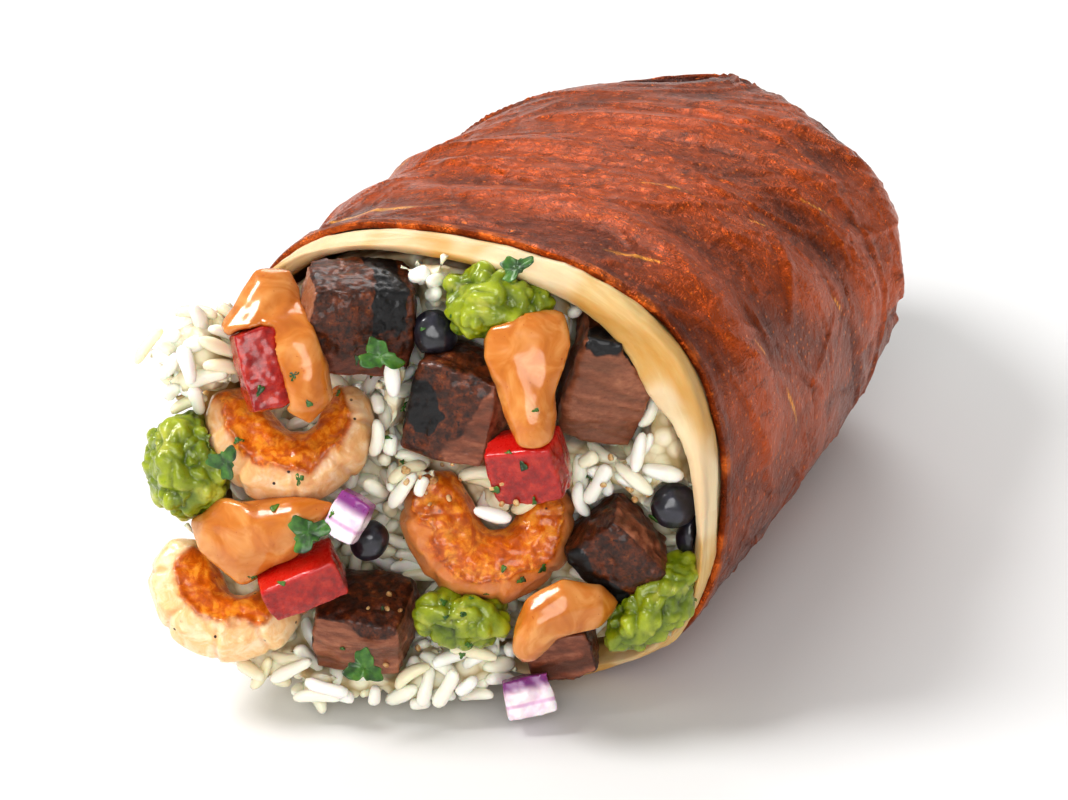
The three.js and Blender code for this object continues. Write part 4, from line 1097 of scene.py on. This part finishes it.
class BURRITO_OT_rice(bpy.types.Operator):
    """Fills the tortilla with rice: a soft core, and whole grains at the open end"""

    bl_idname = "burrito.rice"
    bl_label = "Rice"

    def execute(self, context):
        filling = context.scene.burrito_filling
        core = kneaded("rice_filling", "rice_core", 0.9, 16, -0.85)
        clump = kneaded("rice_clump", "rice_clump_core", 0.6, 8, -0.7)
        for piece in (core, clump):
            p = read_points(piece)
            push(piece, 0.4 * np.abs(cloud(p * (1, 1, 0.6), 2.6, 2)) + 0.15 * cloud(p, 1.2, 5))
        others = [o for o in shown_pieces() if o.name not in (core.name, clump.name) and "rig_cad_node" not in o]
        tree = skin_tree(others)
        grains = self.scatter(filling, (core, clump), tree)
        soft = self.core_finish()
        finish_piece(core, soft, "rice", "rice_filling")
        finish_piece(clump, soft, "rice", "rice_clump")
        finish_piece(grains, self.rice_finish(filling), "rice")
        return {"FINISHED"}

    def scatter(self, filling, cores, tree):
        random = np.random.default_rng(GRAIN_SEED)
        long, wide = filling.grain_length * 1000, filling.grain_width * 1000
        shape, shape_faces = grain_shape()
        centres, normals, areas = [], [], []
        for piece in cores:
            mesh, count = piece.data, len(piece.data.polygons)
            centre, normal, area = np.zeros(count * 3), np.zeros(count * 3), np.zeros(count)
            mesh.polygons.foreach_get("center", centre)
            mesh.polygons.foreach_get("normal", normal)
            mesh.polygons.foreach_get("area", area)
            centres.append(centre.reshape(-1, 3) * 1000 - SHIFT)
            normals.append(normal.reshape(-1, 3))
            areas.append(area)
        centres, normals, areas = np.concatenate(centres), np.concatenate(normals), np.concatenate(areas)
        out = np.array(FACE_OUT)
        toward = np.array((0.31, -0.83, 0.46))
        depth = (centres - np.array(FACE_POINT)) @ out
        open_side = (depth > -13) & (centres[:, 1] < 3) & (normals @ toward > -0.25)
        centres, normals, areas = centres[open_side], normals[open_side], areas[open_side]
        chances = np.cumsum(areas) / areas.sum()
        spine = np.linspace(-0.42, 0.42, 5)
        taken = np.zeros((0, 3))
        heap, tints = Heap(), []
        low = np.array(CAD_BOX[0]) * 1000 - SHIFT - 0.8
        core_tree = skin_tree(cores)
        for step in range(filling.grain_tries):
            layer = 0 if step < filling.grain_tries * 0.5 else 1
            k = int(np.searchsorted(chances, random.random()))
            normal = normals[k]
            height = (random.uniform(0.1, 0.9), random.uniform(1.5, 2.9))[layer]
            length = long * random.uniform(0.86, 1.16) * (0.55 if random.random() < 0.06 else 1)
            width = wide * random.uniform(0.88, 1.08)
            heading = random.normal(size=3)
            heading -= normal * (heading @ normal)
            heading /= np.linalg.norm(heading)
            axis = heading + normal * random.uniform(-0.25, 0.25) * (1 + layer)
            axis /= np.linalg.norm(axis)
            middle = centres[k] + normal * height + random.uniform(-0.3, 0.3, 3)
            line = middle + spine[:, None] * length * axis
            if line[:, 2].min() < width * 0.5 or (line < low).any():
                continue
            if len(taken):
                gaps = np.linalg.norm(taken[None] - line[:, None], axis=2)
                if gaps.min() < width * 0.7:
                    continue
                if layer and gaps.min() > width * 1.5:
                    continue
            if any(clearance(tree, p) < width * 0.42 for p in line):
                continue
            if any(clearance(core_tree, line[end]) > (1.3, 3.1)[layer] for end in (0, -1)):
                continue
            taken = np.concatenate([taken, line])
            bend = random.uniform(-0.09, 0.09)
            own = shape * (length, width, width)
            own[:, 2] += bend * own[:, 0] ** 2
            own[:, 1] *= 1 + 0.12 * np.sin(own[:, 0] * 0.9 + step)
            own = own @ frame_from(axis, normal + 0.5 * random.normal(size=3)).T + middle
            own[:, 2] = np.maximum(own[:, 2], 0.02)
            heap.add(own, shape_faces)
            tints.append(np.full(len(own), random.random()))
        grains = heap.piece("rice_grains")
        write_share(grains, "tint", np.concatenate(tints))
        return grains

    def rice_finish(self, filling):
        f = Finish("rice", soft=(0.3, 2), coat=(0.35, 0.2))
        shade = f.ramp(f.share("tint"), (0.0, "fefcf4"), (0.7, filling.rice_colour), (1.0, "f4ebc8"))
        shade = f.mix(f.times(f.step(f.noise(3.0, 3), 0.55, 0.75), 0.25), shade, "e6e2cf")
        return f.done(shade, (f.noise(1.2, 2), 0.3, 0.48), (f.noise(0.8, 3), 0.2, 0.12))

    def core_finish(self):
        f = Finish("rice_core", soft=(0.3, 2))
        lumps = f.cells(2.6, source=f.stretched((1, 0.45, 1), (20, 30, 10)))
        # Painted shade: the core darkens towards the edges of its grain-sized cells, like the gaps between
        # grains; the same cells make its bumps.
        shade = f.ramp(lumps, (0.1, "faf4e2"), (0.45, "efe6ca"), (0.8, "b8a478"))
        shade = f.mix(f.times(f.step(f.noise(6, 3), 0.58, 0.72), 0.4), shade, "b58a50")
        return f.done(shade, (f.noise(1.5, 2), 0.45, 0.65), (lumps, 0.7, 0.8), (f.noise(0.8, 3), 0.3, 0.2))


LEAVES = [
    ("cilantro_1", 7.5, 6.5, (-20.7, -3.5, 11.2), (-15, 10, 20), 3),
    ("cilantro_2", 7.2, 6.2, (-11.9, -28.1, 9.4), (-20, 5, -30), 8),
    ("cilantro_3", 6.8, 5.6, (-34.6, 7.6, 9.4), (-10, -15, 60), 5),
    ("cilantro_4", 8.2, 5.4, (-9.4, 25.4, 5.2), (-20, 10, -20), 12),
    ("cilantro_5", 6.4, 4.4, (12.4, 40.6, 3.4), (-40, 0, 30), 17),
]


CRUMB_HEAPS = [
    # middle, number, reach
    ((-1, 4, 6), 16, 5), ((12, 2, 6), 8, 4), ((-6, -24, 6), 8, 8), ((32, 4, 2), 8, 6),
]
FLECKS = 46


def leaf_points(length, width, seed, around=40, rings=7):
    """A lobed, folded leaf as points in mm and faces."""
    turn = np.arange(around) * 2 * math.pi / around
    lobe = 0.66 + 0.22 * np.cos(turn * 3 + 0.3)
    lobe = lobe + 0.07 * np.cos(turn * 9 + seed) + 0.05 * np.sin(turn * 13 + seed)
    points = [np.zeros((1, 3))]
    for k in range(1, rings + 1):
        share = k / rings
        x = 0.62 * length * lobe * np.cos(turn) * share
        y = 0.62 * width * lobe * np.sin(turn) * share
        z = 0.5 * np.abs(y) ** 1.15 * 0.4 - 0.035 * x * x + 0.22 * np.sin(turn * 6 + seed) * share ** 2
        points.append(np.stack([x, y, z + 0.25 * np.sin(x * 0.9 + seed)], -1))
    faces = [[0, 1 + k, 1 + (k + 1) % around] for k in range(around)]
    for r in range(rings - 1):
        a, b = 1 + r * around, 1 + (r + 1) * around
        faces += [[a + k, b + k, b + (k + 1) % around, a + (k + 1) % around] for k in range(around)]
    return np.concatenate(points), faces


class BURRITO_OT_herbs(bpy.types.Operator):
    """Adds the cilantro leaves, herb flecks and crumbs"""

    bl_idname = "burrito.herbs"
    bl_label = "Herbs and crumbs"

    def execute(self, context):
        filling = context.scene.burrito_filling
        material = self.herb_finish(filling)
        everything = [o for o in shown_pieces() if "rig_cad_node" not in o]
        tree = skin_tree(everything)
        for k, (node, length, width, at, turns, seed) in enumerate(LEAVES):
            points, faces = leaf_points(length, width, seed)
            piece = merged_mesh(f"cilantro_leaf_{k + 1}", moved(points, place(at, turns)), faces)
            apply(piece, "SOLIDIFY", thickness=0.0003, offset=0)
            apply(piece, "SUBSURF", levels=1, render_levels=1)
            finish_piece(piece, material, "cilantro", node)
        random = np.random.default_rng(HERB_SEED)
        heap = Heap()
        for _ in range(FLECKS):
            found = self.drop(tree, random, 38, 33)
            if found is None:
                continue
            spot, normal = found
            size = random.uniform(0.9, 2.4)
            width = size * random.uniform(0.4, 0.8)
            own, own_faces = leaf_points(size, width, int(random.integers(1, 90)), 12, 2)
            turned = frame_from(np.cross(normal, random.normal(size=3)), normal)
            own = own @ turned.T + spot + normal * 0.12
            heap.add(own, own_faces)
        flecks = heap.piece("herb_flecks")
        apply(flecks, "SOLIDIFY", thickness=0.00016, offset=0)
        finish_piece(flecks, material, "cilantro")
        shape, shape_faces = grain_shape()
        heap = Heap()
        for middle, count, spread in CRUMB_HEAPS:
            for _ in range(count):
                found = self.drop(tree, random, spread, spread, middle)
                if found is None:
                    continue
                spot, normal = found
                size = random.uniform(0.5, 1.3)
                own = shape * (size * 1.3, size, size)
                own *= 1 + 0.25 * clouds(own + spot, 0.8, 2)[:, None]
                own = own @ frame_from(random.normal(size=3), normal).T + spot + normal * size * 0.25
                heap.add(own, shape_faces)
        finish_piece(heap.piece("crumbs"), self.crumb_finish(), "steak")
        return {"FINISHED"}

    def drop(self, tree, random, wide, high, middle=(0, 0, 0)):
        """The first skin met from in front of the open end, at a random place."""
        turn, reach = random.uniform(0, 2 * math.pi), math.sqrt(random.random())
        across, up = wide * reach * math.cos(turn), high * reach * math.sin(turn)
        start = FACE @ Vector((middle[0] + across, middle[1] + up, 60))
        spot, normal, _, _ = tree.ray_cast(start, -FACE_OUT)
        if spot is None or normal.dot(FACE_OUT) < 0.2:
            return None
        return np.array(spot), np.array(normal)

    def herb_finish(self, filling):
        f = Finish("cilantro", soft=(0.15, 1), coat=(0.45, 0.2))
        shade = f.ramp(f.noise(2.2, 4), (0.35, "173a10"), (0.52, filling.herb_colour), (0.72, "5f8f2c"))
        return f.done(shade, (f.noise(1.0, 2), 0.28, 0.5), (f.noise(0.7, 3), 0.4, 0.2))

    def crumb_finish(self):
        f = Finish("crumb", soft=(0.2, 1))
        shade = f.ramp(f.noise(1.2, 3), (0.35, "a8703c"), (0.52, "d8b078"), (0.7, "eedcb4"))
        return f.done(shade, (f.noise(0.9, 2), 0.35, 0.6), (f.noise(0.5, 3), 0.4, 0.15))


# Stage

LIGHTS = [
    # name, place, aim, size, power against the key light's
    ("key", (-0.62, -0.3, 0.85), (0, -0.02, 0.03), 0.42, 1.0),
    ("fill", (0.35, -1.25, 0.7), (0, -0.05, 0.04), 0.9, 1.05),
    ("back", (-0.25, 0.8, 0.8), (0, 0, 0.03), 0.6, 0.45),
]


class BURRITO_OT_stage(bpy.types.Operator):
    """Sets the pale floor, the soft lights and the camera"""

    bl_idname = "burrito.stage"
    bl_label = "Floor, lights and camera"

    def execute(self, context):
        stage = context.scene.burrito_stage
        bpy.ops.object.select_all(action="DESELECT")
        bpy.ops.mesh.primitive_plane_add(size=FLOOR_SIZE, location=(0, 0, 0))
        floor = bpy.context.active_object
        floor.name = "floor"
        f = Finish("floor", Base_Color=(*stage.floor_colour, 1), Roughness=0.7, Specular_IOR_Level=0.2)
        floor.data.materials.append(f.material)
        floor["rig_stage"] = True
        for name, spot, aim, size, power in LIGHTS:
            self.light(name, Vector(spot), Vector(aim), size, stage.key_power * power)
        world = bpy.data.worlds.new("studio")
        world.use_nodes = True
        sky = world.node_tree.nodes["Background"].inputs
        sky["Color"].default_value = WORLD_COLOUR
        sky["Strength"].default_value = WORLD_STRENGTH
        context.scene.world = world
        context.scene.view_settings.view_transform = "Standard"
        context.scene.view_settings.gamma = VIEW_GAMMA
        spot, aim = (Vector((np.array(p) + SHIFT) / 1000) for p in (CAMERA_SPOT, CAMERA_AIM))
        bpy.ops.object.camera_add(location=spot, rotation=(aim - spot).to_track_quat("-Z", "Y").to_euler())
        camera = bpy.context.active_object
        camera.name = "camera"
        camera.data.sensor_width = 36
        camera.data.lens = stage.focal_length
        context.scene.camera = camera
        return {"FINISHED"}

    def light(self, name, spot, aim, size, power):
        turn = (aim - spot).to_track_quat("-Z", "Y").to_euler()
        bpy.ops.object.light_add(type="AREA", location=spot, rotation=turn)
        light = bpy.context.active_object
        light.name = name
        light.data.shape = "DISK"
        light.data.size = size
        light.data.energy = power


PIECES = (BURRITO_OT_foil, BURRITO_OT_tortilla, BURRITO_OT_steak, BURRITO_OT_shrimp, BURRITO_OT_vegetables,
          BURRITO_OT_guacamole, BURRITO_OT_sauce, BURRITO_OT_rice, BURRITO_OT_herbs, BURRITO_OT_stage)
SETTINGS = {"burrito_wrap": BurritoWrapSettings, "burrito_filling": BurritoFillingSettings,
            "burrito_stage": BurritoStageSettings}


class BURRITO_PT_panel(bpy.types.Panel):
    """Lists the burrito's settings and makers"""

    bl_label = "Burrito"
    bl_idname = "BURRITO_PT_panel"
    bl_space_type = "VIEW_3D"
    bl_region_type = "UI"
    bl_category = "Burrito"

    def draw(self, context):
        for group, kind in SETTINGS.items():
            box = self.layout.box()
            for key in kind.__annotations__:
                box.prop(getattr(context.scene, group), key)
        for maker in PIECES:
            self.layout.operator(maker.bl_idname)


def register():
    for kind in (*SETTINGS.values(), *PIECES, BURRITO_PT_panel):
        bpy.utils.register_class(kind)
    for group, kind in SETTINGS.items():
        setattr(bpy.types.Scene, group, PointerProperty(type=kind))


def unregister():
    for group in SETTINGS:
        delattr(bpy.types.Scene, group)
    for kind in (BURRITO_PT_panel, *reversed(PIECES), *reversed(tuple(SETTINGS.values()))):
        bpy.utils.unregister_class(kind)


def main():
    register()
    bpy.ops.burrito.foil()
    bpy.ops.burrito.tortilla()
    bpy.ops.burrito.steak()
    bpy.ops.burrito.shrimp()
    bpy.ops.burrito.vegetables()
    bpy.ops.burrito.guacamole()
    bpy.ops.burrito.sauce()
    bpy.ops.burrito.rice()
    bpy.ops.burrito.herbs()
    bpy.ops.burrito.stage()


if __name__ == "__main__":
    main()
